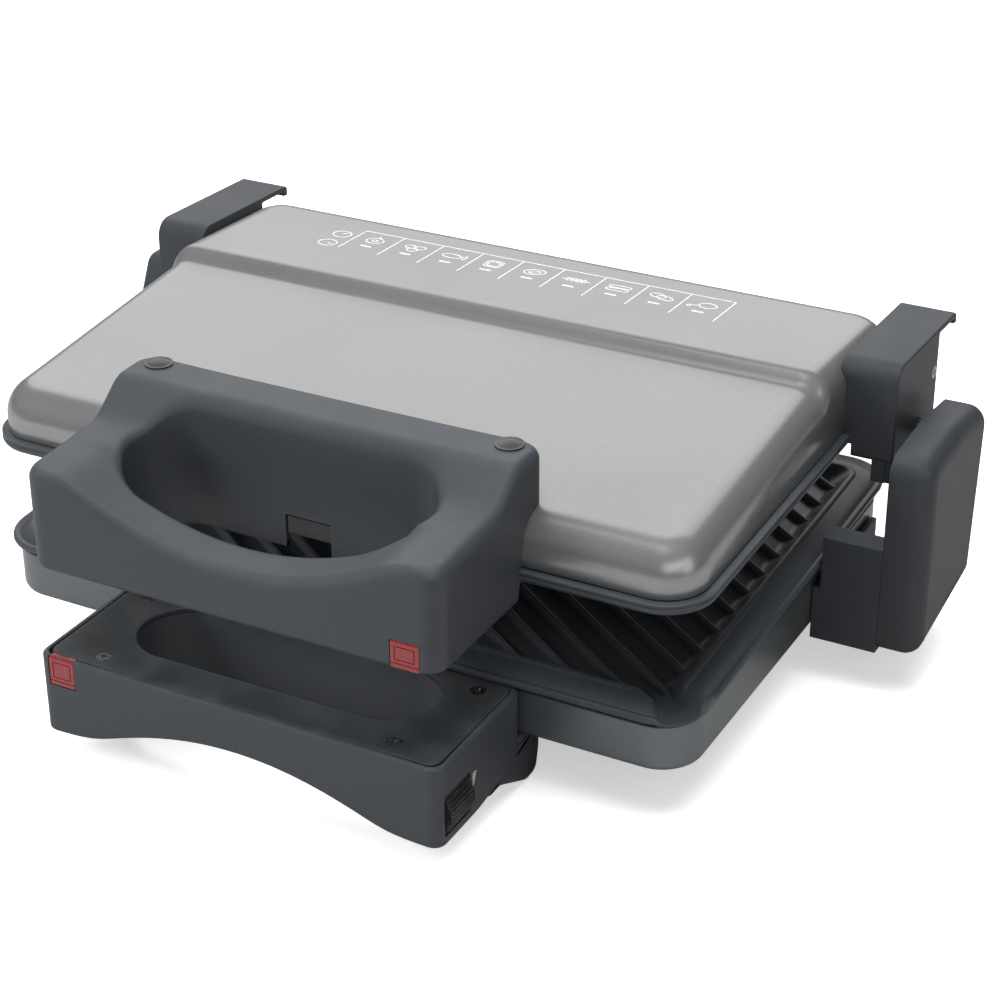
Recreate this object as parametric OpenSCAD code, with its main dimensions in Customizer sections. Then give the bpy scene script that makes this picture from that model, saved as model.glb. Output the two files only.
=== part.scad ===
// Contact grill with a floating lid: two ribbed plates in sheet-steel pans, a loop handle on
// each half, and side blocks whose slotted guides let the lid rise, stay level and tip back.
// Datum: x = 0 is the middle of the pan, y = 0 its front face, z = 0 its underside.

/* [Pan and lid shell] */
// Width of the lower pan and of the lid shell
pan_w = 320; // [312:1:330]
// Depth of the lower pan and of the lid shell
pan_d = 218; // [214:1:222]
// Height of the painted side of the pan at its front
pan_h = 20.5; // [19:0.5:21]
// Radius of the corners in plan
corner_r = 18; // [16:1:24]
// Radius of the fold along the pan's bottom edge
fold_r = 8; // [5:1:10]
// Sheet thickness
sheet = 1.2; // [1:0.1:1.5]
// Height of the pan above the table
foot_h = 24; // [22:0.5:26]
// Radius of the fold round the lid's top
deck_r = 13; // [10:1:15]

/* [Grill plates] */
// How far a plate's rim stands out past the pan
rim_over = 3; // [2:0.5:4]
// Height of the rim band
rim_h = 5; // [4:0.5:6]
// Width of the flat rim
rim_w = 13; // [11:0.5:15]
// Fall of the lower plate towards its spout, in degrees
plate_fall = 2.7; // [2:0.1:3.2]
// Fall of the upper plate, in degrees
lid_fall = 1.8; // [1.2:0.1:2.4]
// Distance between ribs
rib_pitch = 13; // [11:0.5:16]
// Angle of the ribs from the front edge, in degrees
rib_angle = -35; // [-45:1:-20]
// Width of a rib
rib_w = 3.2; // [2.5:0.1:4.5]

/* [Handles] */
// Width of each handle
grip_w = 182; // [176:1:188]
// Reach of each handle in front of the pan
grip_reach = 66; // [60:1:70]
// Width of the grip hole
hole_w = 134; // [126:1:138]
// Front wall of the grip hole, measured from the pan
hole_front = 46; // [42:1:48]
// Wall thickness of the mouldings
wall = 2.5; // [2:0.1:3]

/* [Hinge] */
// Height of the lid's hinge pins above the pan's underside, lid raised
pin_z = 75; // [74:0.5:76]
// Distance of the hinge pins behind the pan's front face
pin_y = 187; // [185:0.5:188]
// Radius of a hinge pin
pin_r = 3.5; // [3:0.1:3.8]
// Travel of the floating lid, from raised to closed
lid_travel = 35; // [30:0.5:35]
// Running clearance of the pins and the dial's spindle, on the radius
run = 0.05; // [0.02:0.01:0.1]

/* [Hidden] */
$fn = 48;

// Thin slice and cutting margin
slice = 0.01;
past = 1;
// Gap between pieces that sit side by side
gap = 0.3;

// Overall depth: from the handle's front to the tip of the hinge caps' lips
lip_over = 11;
rear_y = pan_d + lip_over;
mid_y = (rear_y - grip_reach) / 2;

// Heights of the two plates' rims at the front, measured from the pan's underside
lower_rim_z = 23.2;
lid_z = 75.6;
pan_slope = 0.03;

// Lid deck: height at the front and slope, then the raised rear panel
deck_z = 94.6;
deck_slope = 0.1;
panel_y = 134;
panel_z = 119.4;
panel_slope = -0.043;
back_r = 9;

// Hinge blocks, covers and caps, across and along
block_in = pan_w / 2 + gap;
block_out = 189.3;
block_front = 129;
block_back = 200;
block_low = -4;
block_top = 44.4;
block_lip = 12;
cover_out = 207.6;
cover_top = 86;
cap_in = 157;
cap_out = 182;
cap_front = 155;
cap_back = 207;
cap_low = 70;
cap_top = 113;
heel_low = 61;

// Handle heights
low_grip_top = 22.4;
low_grip_bottom = -13.5;
up_grip_bottom = 61.5;
up_grip_front = 104;
flange_top = 119;
flange_back = 20;
hole_back = 6;
inset_h = 2;
bolt_x = 79.4;
bolt_y = 12;
arch_r = 139;
arch_top = 2.3;
dip_r = 122;
dip_z = 82.8;

// Dial: axis and size
dial_x = 82.5;
dial_z = 0;
dial_r = 11.5;
dial_front = 61;
dial_len = 18;
spindle_r = 3;

// Lamps
lamp_w = 12.4;
lamp_deep = 8;
low_lamp_x = -86;
low_lamp_z = 9.4;
up_lamp_x = 71;
lamp_h = low_grip_top - low_lamp_z;
up_lamp_h = 11.5;

// Moves a piece from the datum to the frame whose origin is under the object's middle
module placed() {
    translate([0, -mid_y, foot_h]) children();
}

// Rounded rectangle in plan, its front edge on y = 0
module plan(w, d, r) {
    translate([0, d / 2]) {
        square([w - 2 * r, d], center = true);
        square([w, d - 2 * r], center = true);
        for (sx = [-1, 1], sy = [-1, 1])
            translate([sx * (w / 2 - r), sy * (d / 2 - r)]) circle(r);
    }
}

// Corners of an outline replaced by arcs: pts is [[x, y, r], ...] anticlockwise
function unit(v) = v / norm(v);
function arc_corner(a, b, c) =
    let (u = unit([a[0] - b[0], a[1] - b[1]]), v = unit([c[0] - b[0], c[1] - b[1]]),
         half = acos(u * v) / 2, w = unit(u + v), m = [b[0], b[1]] + w * b[2] / sin(half),
         from = atan2(-w[1], -w[0]), turn = cross(u, v) < 0 ? 90 - half : half - 90)
    b[2] <= 0 ? [[b[0], b[1]]] :
    [for (k = [-1:0.25:1]) m + b[2] * [cos(from + k * turn), sin(from + k * turn)]];
function soft(pts) =
    [for (i = [0:len(pts) - 1])
        each arc_corner(pts[(i + len(pts) - 1) % len(pts)], pts[i], pts[(i + 1) % len(pts)])];

// Extrudes a side outline (y, z) across x0 to x1
module across(x0, x1) {
    translate([x0, 0, 0]) rotate([90, 0, 90]) linear_extrude(x1 - x0) children();
}

// Extrudes a cross outline (x, z) along y0 to y1
module along(y0, y1) {
    translate([0, y1, 0]) rotate([90, 0, 0]) linear_extrude(y1 - y0) children();
}

// Cylinder along y from y0 to y1, and along x from x0 to x1
module rod_y(x, z, r, y0, y1) {
    translate([x, y0, z]) rotate([-90, 0, 0]) cylinder(r = r, h = y1 - y0);
}
module rod_x(y, z, r, x0, x1) {
    translate([x0, y, z]) rotate([0, 90, 0]) cylinder(r = r, h = x1 - x0);
}

// Box between two corners
module box(a, b) {
    translate(a) cube(b - a);
}

// Solid pan form: straight sides and folded bottom edges; grow < 0 gives its hollow
module pan_form(grow) {
    w = pan_w / 2 + grow;
    top = pan_h + pan_slope * pan_d + past;
    low = -grow;
    f = fold_r + grow;
    intersection() {
        translate([0, -grow, low - past]) linear_extrude(2 * top)
            plan(2 * w, pan_d + 2 * grow, corner_r + grow);
        across(-pan_w, pan_w)
            polygon(soft([[-grow, low, f], [pan_d + grow, low, f], [pan_d + grow,
                pan_h + pan_slope * pan_d - grow, 0],
                [-grow, pan_h - grow, 0]]));
        along(-pan_d, 2 * pan_d) polygon(soft([[-w, low, f], [w, low, f], [w, top, 0], [-w, top, 0]]));
    }
}

// Deck and rear panel seen from the side, with the folds at the front and the rear
module lid_side(grow) {
    drop = grow < 0 ? past : 0;
    base = lid_z + pan_d * tan(lid_fall) - drop;
    step = 4;
    across(-pan_w, pan_w)
        polygon(soft([
            [-grow, lid_z - drop, 0], [pan_d + grow, base, 0],
            [pan_d + grow, panel_z + panel_slope * pan_d + grow, back_r + grow],
            [panel_y + step, panel_z + panel_slope * panel_y + grow, 6],
            [panel_y - step, deck_z + deck_slope * panel_y + grow, 6],
            [-grow, deck_z + grow, deck_r + grow]
        ]));
}

// Cross-section with folded top edges, carried along the slope of one plane of the lid
module lid_bar(grow, z0, slope, y0, y1) {
    w = pan_w / 2 + grow;
    top = z0 + grow + slice;
    intersection() {
        translate([0, 0, top]) rotate([atan(slope), 0, 0]) along(-pan_d, 2 * pan_d)
            polygon(soft([[-w, -top, 0], [w, -top, 0], [w, 0, deck_r + grow], [-w, 0, deck_r + grow]]));
        box([-pan_w, y0, 0], [pan_w, y1, 2 * cap_top]);
    }
}

// Whole solid lid form: the sloping deck in front and the raised panel behind
module lid_form(grow) {
    out = grow + slice;
    overlap = 4;
    intersection() {
        translate([0, -out, lid_z - 2 * past])
            linear_extrude(cap_top) plan(pan_w + 2 * out, pan_d + 2 * out, corner_r + out);
        lid_side(grow);
        union() {
            lid_bar(grow, deck_z, deck_slope, -pan_d, panel_y);
            lid_bar(grow, panel_z, panel_slope, panel_y - overlap, 2 * pan_d);
        }
    }
}

/* ---- plates, heaters and shields ---- */

// Ribs laid at an angle over the cooking area, cut to its outline
module ribs(w, d) {
    rib_h = 4;
    reach = w + d;
    count = ceil(reach / rib_pitch / 2);
    intersection() {
        linear_extrude(rib_h) plan(w, d, corner_r / 2);
        translate([0, d / 2, 0]) rotate([0, 0, rib_angle])
            for (k = [-count:count])
                translate([-reach / 2, k * rib_pitch - rib_w / 2, 0]) cube([reach, rib_w, rib_h]);
    }
}

// Cast plate, face up: flat rim, well wall, floor and ribs; y = 0 is the rim's front edge
module cast_plate(spout) {
    w = pan_w + 2 * rim_over;
    d = pan_d + 2 * rim_over;
    r = corner_r + rim_over;
    well = rim_w + 1;
    cast = 3.5;
    floor_z = -5;
    moat = 10;
    difference() {
        union() {
            linear_extrude(rim_h) plan(w, d, r);
            translate([0, well - cast, floor_z])
                linear_extrude(-floor_z + slice)
                    plan(w - 2 * (well - cast), d - 2 * (well - cast), r - well + cast);
        }
        translate([0, well, floor_z + cast])
            linear_extrude(rim_h - floor_z) plan(w - 2 * well, d - 2 * well, r - well);
        if (spout) {
            spout_w = 16;
            translate([w / 2 - r, r, 0]) rotate([0, 0, -45])
                translate([0, -spout_w / 2, floor_z + cast + past])
                    cube([w, spout_w, rim_h - floor_z]);
        }
    }
    translate([0, well + moat, floor_z + cast - slice])
        ribs(w - 2 * (well + moat), d - 2 * (well + moat));
}

// Sheathed heating rod: straight runs joined by half turns
module heater_rod(z) {
    rod = 3.2;
    run_x = 104;
    rows = [48, 88, 128, 168];
    bend = (rows[1] - rows[0]) / 2;
    for (i = [0:len(rows) - 1])
        rod_x(rows[i], z, rod, -run_x, run_x);
    for (i = [0:len(rows) - 2]) {
        side = i % 2 == 0 ? 1 : -1;
        translate([side * run_x, rows[i] + bend, z]) rotate([0, 0, side > 0 ? -90 : 90])
            rotate_extrude(angle = 180) translate([bend, 0]) circle(rod);
    }
    for (i = [0, len(rows) - 1])
        rod_x(rows[i], z, 1.5 * rod, -run_x - 14, -run_x);
}

// Bright sheet tray behind the heating rod, open on the rod's side
module shield(deep, hole) {
    side = 15;
    thick = 0.8;
    translate([0, side, 0]) difference() {
        linear_extrude(deep) plan(pan_w - 2 * side, pan_d - 2 * side, corner_r - side / 2);
        translate([0, thick, thick]) linear_extrude(deep)
            plan(pan_w - 2 * (side + thick), pan_d - 2 * (side + thick), corner_r - side / 2 - thick);
        if (hole) rod_y(sensor_x, sensor_z - shield_z, sensor_hole, -past, side);
    }
}
shield_z = 3;
shield_deep = 8;
sensor_x = 85;
sensor_z = 8;
sensor_hole = 2.5;

low_heater_z = 13.6;
up_heater_z = 86.6;
up_shield_z = 93;
module lower_heater() {
    color("dimgray") placed() heater_rod(low_heater_z);
}
module upper_heater() {
    color("dimgray") placed() rotate([lid_fall, 0, 0]) heater_rod(up_heater_z);
}
module lower_heat_shield() {
    color("gainsboro") placed() translate([0, 0, shield_z]) shield(shield_deep, true);
}
module upper_heat_shield() {
    color("gainsboro") placed()
        translate([0, 0, up_shield_z]) rotate([lid_fall, 0, 0]) mirror([0, 0, 1])
            shield(shield_deep - 3, false);
}
module lower_plate() {
    color([0.13, 0.14, 0.14]) placed()
        translate([0, -rim_over, lower_rim_z]) rotate([plate_fall, 0, 0]) cast_plate(true);
}
module upper_plate() {
    color([0.13, 0.14, 0.14]) placed()
        translate([0, -rim_over, lid_z - 0.6]) rotate([lid_fall, 0, 0]) mirror([0, 0, 1])
            cast_plate(false);
}

/* ---- lower pan ---- */

// Clearance for a 4 mm screw, and where two of them hold each hinge block
screw_hole = 2.1;
block_screw_y = [146, 176];
block_screw_z = 11;
module screw_pair_holes(r) {
    for (y = block_screw_y) rod_x(y, block_screw_z, r, pan_w / 2 - past - sheet, pan_w / 2 + past);
}
module lower_pan() {
    color([0.42, 0.44, 0.46]) placed() difference() {
        pan_form(0);
        pan_form(-sheet);
        rod_y(sensor_x, sensor_z, sensor_hole, -past, fold_r);
        for (s = [-1, 1]) {
            translate([s * bolt_x, foot_y, -past]) cylinder(r = screw_hole, h = sheet + 2 * past);
            scale([s, 1, 1]) screw_pair_holes(screw_hole);
        }
    }
}

/* ---- lower handle and what it holds ---- */

// Grip hole in plan, with rounded ends
module grip_hole(z0, z1) {
    deep = hole_front - hole_back;
    translate([0, -hole_front, z0]) linear_extrude(z1 - z0) plan(hole_w, deep, deep / 2 - past);
}

// The long pocket inside the front bar and the two pockets inside the side arms
module handle_pockets(z0, z1) {
    in = grip_w / 2 - wall;
    box([-in, -grip_reach + wall, z0], [in, -hole_front - wall, z1]);
    for (s = [-1, 1])
        scale([s, 1, 1]) box([hole_w / 2 + wall, -hole_front - wall - slice, z0], [in, -wall, z1]);
}

cover_screws_at = [[66.3, -55.7], [76.8, -9.6]];
boss_r = 3.5;
screw_r = 1.5;

// Places its children at the four screws of a handle cover
module at_cover_screws() {
    for (s = [-1, 1], p = cover_screws_at)
        translate([s * p[0], p[1], 0]) children();
}

// Pocket that takes a lamp's lens in the front bar
module lamp_pocket(x, z, h, grow) {
    box([x - grow, -grip_reach - past, z - grow], [x + lamp_w + grow, -grip_reach + lamp_deep,
        z + h + grow]);
}

clip_half = 10;
clip_gap = 0.4;
clip_slot = 4.5;

// Notch for a plate clip in the bar behind the grip hole
module clip_slot(z0, z1) {
    box([-clip_half - clip_gap, -hole_back - past, z0], [clip_half + clip_gap, slice, z1]);
}

foot_y = 9;
foot_half = 12;
module foot_boss(s) {
    foot_mid = grip_w / 2 - foot_half;
    scale([s, 1, 1]) across(foot_mid - foot_half, grip_w / 2)
        polygon(soft([[-26, low_grip_bottom, 2], [-1, -foot_h, 6], [16, -foot_h, 6], [16, 0, 1], [-26,
            0, 2]]));
}

module lower_handle() {
    floor_z = low_grip_bottom + wall;
    color([0.24, 0.26, 0.28]) placed() difference() {
        union() {
            difference() {
                translate([0, -grip_reach, low_grip_bottom])
                    linear_extrude(low_grip_top - low_grip_bottom) plan(grip_w, grip_reach, 4);
                difference() {
                    handle_pockets(floor_z, low_grip_top + past);
                    rod_y(0, arch_top - arch_r, arch_r + wall, -grip_reach, 0);
                }
                translate([0, -grip_reach + wall, low_grip_top - inset_h - gap])
                    linear_extrude(inset_h + past) plan(grip_w - 2 * wall, grip_reach - wall + past, 2);
            }
            for (s = [-1, 1]) foot_boss(s);
            at_cover_screws() translate([0, 0, floor_z - slice])
                cylinder(r = boss_r, h = low_grip_top - inset_h - gap - floor_z);
        }
        grip_hole(-2 * foot_h, 2 * foot_h);
        rod_y(0, arch_top - arch_r, arch_r, -grip_reach - past, past - slice);
        at_cover_screws() translate([0, 0, floor_z + 10]) cylinder(r = screw_r, h = 2 * foot_h);
        rod_y(dial_x, dial_z, dial_r + 0.8, -dial_front - 0.6, -dial_front + dial_len + 0.6);
        box([dial_x - thermo_in - gap, -thermo_front - gap, -thermo_half - gap],
            [dial_x + thermo_out + gap, -thermo_back + gap, thermo_half + gap]);
        rod_y(sensor_x, sensor_z, sensor_hole, -hole_back - past, past);
        lamp_pocket(low_lamp_x, low_lamp_z, lamp_h + past, 0.1);
        clip_slot(low_grip_top - clip_slot, low_grip_top + past);
        for (s = [-1, 1]) translate([s * bolt_x, foot_y, 0]) {
            translate([0, 0, -foot_h - past]) cylinder(r = pad_r + 0.1, h = pad_in + past);
            translate([0, 0, -foot_h - past]) cylinder(r = 4.1, h = head_z + foot_h + past);
            translate([0, 0, -foot_h]) cylinder(r = screw_hole, h = 2 * foot_h);
        }
    }
}
module cover_plate(z0) {
    translate([0, -grip_reach + wall + gap, z0])
        linear_extrude(inset_h) plan(grip_w - 2 * (wall + gap), grip_reach - wall - 2 * gap, 2);
}
module lower_handle_cover() {
    base = low_grip_top - inset_h;
    color([0.2, 0.22, 0.23]) placed() difference() {
        cover_plate(base);
        grip_hole(base - past, low_grip_top + past);
        lamp_pocket(low_lamp_x, low_lamp_z, lamp_h + past, 0.1);
        at_cover_screws() {
            translate([0, 0, base - past]) cylinder(r = screw_r + 0.1, h = inset_h + 2 * past);
            translate([0, 0, base + 0.6]) cylinder(r = 3.3, h = inset_h);
        }
        clip_slot(base - past, low_grip_top + past);
    }
}

// Cross-head screw, head up, its head's underside on z = 0
module cross_screw(head_r, head_h, shank_r, shank) {
    cross = head_r * 1.2;
    difference() {
        union() {
            cylinder(r = head_r, h = head_h);
            translate([0, 0, -shank]) cylinder(r = shank_r, h = shank + slice);
        }
        for (a = [0, 90]) rotate([0, 0, a])
            translate([-cross / 2, -head_r / 8, head_h / 2]) cube([cross, head_r / 4, head_h]);
    }
}
module lower_handle_screws() {
    color("silver") placed() at_cover_screws()
        translate([0, 0, low_grip_top - inset_h + 0.6]) cross_screw(3.1, 1.2, screw_r - 0.05, 10);
}
module lens(x, z, h) {
    box([x, -grip_reach, z], [x + lamp_w, -grip_reach + lamp_deep - gap, z + h]);
}
module bulb(x, z) {
    rod_y(x, z, 2.6, -grip_reach + lamp_deep, -grip_reach + lamp_deep + 7);
    translate([x, -grip_reach + lamp_deep + 7, z]) sphere(2.6);
}
module lower_lamp_lens() {
    color([0.7, 0.08, 0.08]) placed() lens(low_lamp_x, low_lamp_z, lamp_h - 0.2);
}
module lower_lamp_bulb() {
    color("orange") placed() bulb(low_lamp_x + lamp_w / 2, low_lamp_z + 4);
}

/* ---- thermostat ---- */

thermo_front = 36;
thermo_back = 16;
thermo_in = 11;
thermo_out = 5.8;
thermo_half = 9;
module thermostat_body() {
    color("beige") placed() difference() {
        union() {
            box([dial_x - thermo_in, -thermo_front, -thermo_half], [dial_x + thermo_out, -thermo_back,
                thermo_half]);
            rod_y(dial_x, dial_z, 5, -thermo_front - 3, -thermo_front + slice);
        }
        rod_y(dial_x, dial_z, spindle_r + run, -thermo_front - 3 - past, -thermo_front + 8);
    }
}
module thermostat_sensor() {
    bulb_from = 30;
    bulb_to = 76;
    color("peru") placed() {
        rod_y(sensor_x, sensor_z, 1, -thermo_back, bulb_from + slice);
        rod_y(sensor_x, sensor_z, 2.2, bulb_from, bulb_to);
    }
}
module thermostat_spindle() {
    color("silver") placed()
        rod_y(dial_x, dial_z, spindle_r, -dial_front + 4, -thermo_front + 7);
}
module thermostat_wheel() {
    teeth = 40;
    tooth_r = 0.55;
    color([0.08, 0.08, 0.09]) placed() difference() {
        rod_y(dial_x, dial_z, dial_r, -dial_front, -dial_front + dial_len);
        for (i = [0:teeth - 1]) {
            a = i * 360 / teeth;
            rod_y(dial_x + dial_r * cos(a), dial_z + dial_r * sin(a), tooth_r,
                -dial_front - past, -dial_front + dial_len + past, $fn = 8);
        }
        rod_y(dial_x, dial_z, spindle_r, -dial_front + 4, past);
    }
}

/* ---- plate clips ---- */

clip_back = -3.3;
clip_thick = 2;
clip_hook = 4;
module clip(z_in, z_hook, toward) {
    top = z_hook + toward * clip_thick;
    low = min(z_in, top);
    high = max(z_in, top);
    box([-clip_half, clip_back - clip_thick, low], [clip_half, clip_back, high]);
    box([-clip_half, clip_back - clip_thick, min(z_hook, top)], [clip_half, clip_hook - rim_over,
        max(z_hook, top)]);
}
module lower_plate_clip() {
    color("silver") placed() clip(low_grip_top - clip_slot + clip_gap, lower_rim_z + rim_h + clip_gap, 1);
}
module upper_plate_clip() {
    color("silver") placed() clip(up_grip_bottom + 14, lid_z - 0.6 - rim_h - clip_gap, -1);
}

/* ---- side blocks, covers and guides ---- */

pin_slot = pin_r + gap;
module pin_slot_cut(x0, x1) {
    hull_low = pin_z - lid_travel - 1;
    box([x0, pin_y - pin_slot, hull_low], [x1, pin_y + pin_slot, pin_z + 1]);
    for (z = [hull_low, pin_z + 1]) rod_x(pin_y, z, pin_slot, x0, x1);
}
module hinge_block(s) {
    inner_top = 20;
    skin = wall;
    scale([s, 1, 1]) difference() {
        box([block_in, block_front, block_low], [block_out, block_back, block_top]);
        box([block_in + skin, block_front + block_lip, block_low + 4],
            [block_out - skin, block_back + past, block_top + past]);
        box([block_in - past, block_front - past, inner_top],
            [pan_w / 2 + rim_over + 2 * gap, block_back + past, block_top + past]);
        box([block_in + 4, block_front + skin, block_low - past],
            [block_out - 4, block_front + block_lip - skin, block_top - skin]);
        pin_slot_cut(block_out - 2 * skin, block_out + past);
        for (y = block_screw_y)
            rod_x(y, block_screw_z, screw_hole - 0.2, block_in - past, block_in + skin + past);
        translate([leg_x, leg_y, block_low - past]) cylinder(r = screw_hole, h = 4 + 2 * past);
    }
}
leg_x = 175;
leg_y = 178;
module hinge_block_right() {
    color([0.2, 0.22, 0.24]) placed() hinge_block(1);
}
module hinge_block_left() {
    color([0.2, 0.22, 0.24]) placed() hinge_block(-1);
}

// Side outlines of the two covers: the right one is a full box, the left one an ear
right_outline = [[block_front, block_low, 6], [197, 6, 8], [204, 84, 8], [166, 88, 30], [block_front,
    cover_top, 7]];
left_outline = [
    [block_front, block_low, 6], [197, 6, 8], [204, 86, 7], [177, 86, 8], [160, 50, 16], [block_front, 46, 6]
];

// Outline grown inwards by the wall, for a cover's hollow
module cover_shell(outline) {
    round = 8;
    difference() {
        hull() for (a = [0:22.5:90])
            across(block_out, cover_out - round + round * sin(a))
                offset(r = -round * (1 - cos(a))) polygon(soft(outline));
        across(block_out - past, cover_out - wall) offset(r = -wall) polygon(soft(outline));
    }
}
gland_x = 198.5;
gland_z = 18;
gland_r = 5;
module hinge_cover_right() {
    color([0.2, 0.22, 0.24]) placed() difference() {
        cover_shell(right_outline);
        rod_y(gland_x, gland_z, gland_r + 0.1, block_back - 12, block_back + 12);
    }
}
module hinge_cover_left() {
    color([0.2, 0.22, 0.24]) placed() mirror([1, 0, 0]) cover_shell(left_outline);
}
guide_in = block_out + 0.2;
guide_thick = 1.6;
module hinge_guide(outline) {
    difference() {
        across(guide_in, guide_in + guide_thick)
            offset(r = -wall - gap) polygon(soft(outline));
        pin_slot_cut(guide_in - past, guide_in + guide_thick + past);
    }
}
module hinge_guide_right() {
    color("silver") placed() hinge_guide(right_outline);
}
module hinge_guide_left() {
    color("silver") placed() mirror([1, 0, 0]) hinge_guide(left_outline);
}
slider_in = 191.6;
slider_out = 199;
module hinge_slider(s) {
    slider_y = 5.5;
    slider_z = 7;
    scale([s, 1, 1]) difference() {
        box([slider_in, pin_y - slider_y, pin_z - slider_z], [slider_out, pin_y + slider_y,
            pin_z + slider_z]);
        rod_x(pin_y, pin_z, pin_r + run, slider_in - past, slider_out + past);
    }
}
module hinge_slider_right() {
    color("ivory") placed() hinge_slider(1);
}
module hinge_slider_left() {
    color("ivory") placed() hinge_slider(-1);
}
module block_screws() {
    color("silver") placed()
        for (s = [-1, 1], y = block_screw_y)
            translate([s * (pan_w / 2 - sheet), y, block_screw_z]) rotate([0, -90 * s, 0])
                cross_screw(3.5, 2, 1.8, 4.2);
}
pad_r = 7;
pad_in = 3;
head_z = -16;
module rear_legs() {
    color([0.2, 0.22, 0.24]) placed() for (s = [-1, 1])
        translate([s * leg_x, leg_y, -foot_h + 1]) difference() {
            cylinder(r1 = 9.5, r2 = 12, h = foot_h - 1 + block_low);
            translate([0, 0, -past]) cylinder(r = pad_r + 0.1, h = pad_in - 1 + past);
            translate([0, 0, -past]) cylinder(r = 4.1, h = head_z + foot_h - 1 + past);
            cylinder(r = screw_hole, h = foot_h);
        }
}
module at_feet() {
    for (s = [-1, 1]) {
        translate([s * bolt_x, foot_y, 0]) children();
        translate([s * leg_x, leg_y, 0]) children();
    }
}
module foot_pads() {
    color([0.09, 0.09, 0.09]) placed() at_feet()
        translate([0, 0, -foot_h]) cylinder(r = pad_r, h = pad_in);
}
module foot_screws() {
    color("silver") placed() at_feet()
        translate([0, 0, head_z]) mirror([0, 0, 1]) cross_screw(3.6, 2.4, 2, 18.5);
}
gland_from = 192;
gland_len = 9.6;
gland_bore = 3.6;
module inlet_gland() {
    flange = 1.6;
    color([0.1, 0.1, 0.1]) placed() translate([gland_x, 0, gland_z]) rotate([-90, 0, 0]) difference() {
        union() {
            translate([0, 0, gland_from]) cylinder(r = gland_r, h = gland_len - flange);
            translate([0, 0, gland_from]) cylinder(r = gland_r + flange, h = flange);
            translate([0, 0, gland_from + gland_len - 2])
                cylinder(r1 = gland_r + flange, r2 = gland_r + 0.6, h = 2);
        }
        translate([0, 0, gland_from - past]) cylinder(r = gland_bore, h = gland_len + 2 * past);
    }
}
module terminal_block() {
    color("white") placed() difference() {
        box([gland_x - 5.5, 136, 8], [gland_x + 5.5, 160, gland_z + 2]);
        for (y = [141, 148, 155]) translate([gland_x, y, 12]) cylinder(r = 2, h = gland_z);
    }
}

/* ---- lid ---- */

module upper_shell() {
    color([0.72, 0.72, 0.71]) placed() difference() {
        lid_form(0);
        lid_form(-sheet);
        for (s = [-1, 1]) translate([s * bolt_x, bolt_y, deck_z - 10]) cylinder(r = screw_hole, h = 20);
        for (s = [-1, 1], y = bracket_screw_y)
            rod_x(y, bracket_screw_z, screw_hole, s > 0 ? pan_w / 2 - 3 : -pan_w / 2 - 3,
                s > 0 ? pan_w / 2 + 3 : -pan_w / 2 + 3);
    }
}
bracket_screw_y = [172, 200];
bracket_screw_z = 92;

// Side outline of the upper handle: front bar, sloping arm and the flange over the deck
up_grip_outline = [
    [-grip_reach + 1, up_grip_bottom, 3], [flange_back, up_grip_bottom, 0.5],
    [flange_back, flange_top, 4], [-2, flange_top, 8], [-18, up_grip_front + 2.5, 14],
    [-grip_reach + 1, up_grip_front, 5]
];
module upper_handle() {
    ceiling = 79;
    color([0.24, 0.26, 0.28]) placed() difference() {
        union() {
            difference() {
                across(-grip_w / 2, grip_w / 2) polygon(soft(up_grip_outline));
                handle_pockets(up_grip_bottom - past, ceiling);
                for (s = [-1, 1])
                    scale([s, 1, 1]) box([hole_w / 2 + wall, -grip_reach + wall + 1, ceiling - past],
                        [grip_w / 2 - wall, -wall, up_grip_front - 4]);
                translate([0, -grip_reach + wall + 1, up_grip_bottom - past])
                    linear_extrude(inset_h + gap + past)
                        plan(grip_w - 2 * wall, grip_reach - wall - 1 + past, 2);
            }
            at_cover_screws() translate([0, 0, up_grip_bottom + inset_h + gap])
                cylinder(r = boss_r, h = up_grip_front - up_grip_bottom - 6);
        }
        lid_form(0.2);
        translate([0, -rim_over - gap, 0]) box([-pan_w, 0, 0], [pan_w, pan_d, lid_z + 1.4]);
        grip_hole(0, 2 * flange_top);
        rod_y(0, dip_z + dip_r, dip_r, -grip_reach - past, -hole_front + 6);
        at_cover_screws() translate([0, 0, up_grip_bottom]) cylinder(r = screw_r, h = 12);
        for (s = [-1, 1]) translate([s * bolt_x, bolt_y, 0]) {
            translate([0, 0, deck_z]) cylinder(r = screw_hole, h = 30);
            translate([0, 0, bolt_head_z]) cylinder(r = 5.2, h = 30);
        }
        lamp_pocket(up_lamp_x, up_grip_bottom - past, up_lamp_h + past, 0.1);
        clip_slot(up_grip_bottom - past, lid_z + 6);
    }
}
bolt_head_z = 112;
module handle_bolts() {
    color("silver") placed() for (s = [-1, 1])
        translate([s * bolt_x, bolt_y, bolt_head_z]) cross_screw(4.8, 2.6, 2, 24);
}
module handle_bolt_caps() {
    dome_r = 5.8;
    color([0.1, 0.11, 0.12]) placed() for (s = [-1, 1])
        translate([s * bolt_x, bolt_y, flange_top]) {
            intersection() {
                translate([0, 0, -9]) sphere(r = 10.8);
                cylinder(r = dome_r, h = 3);
            }
            translate([0, 0, -3]) cylinder(r = 5, h = 3 + slice);
        }
}
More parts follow.
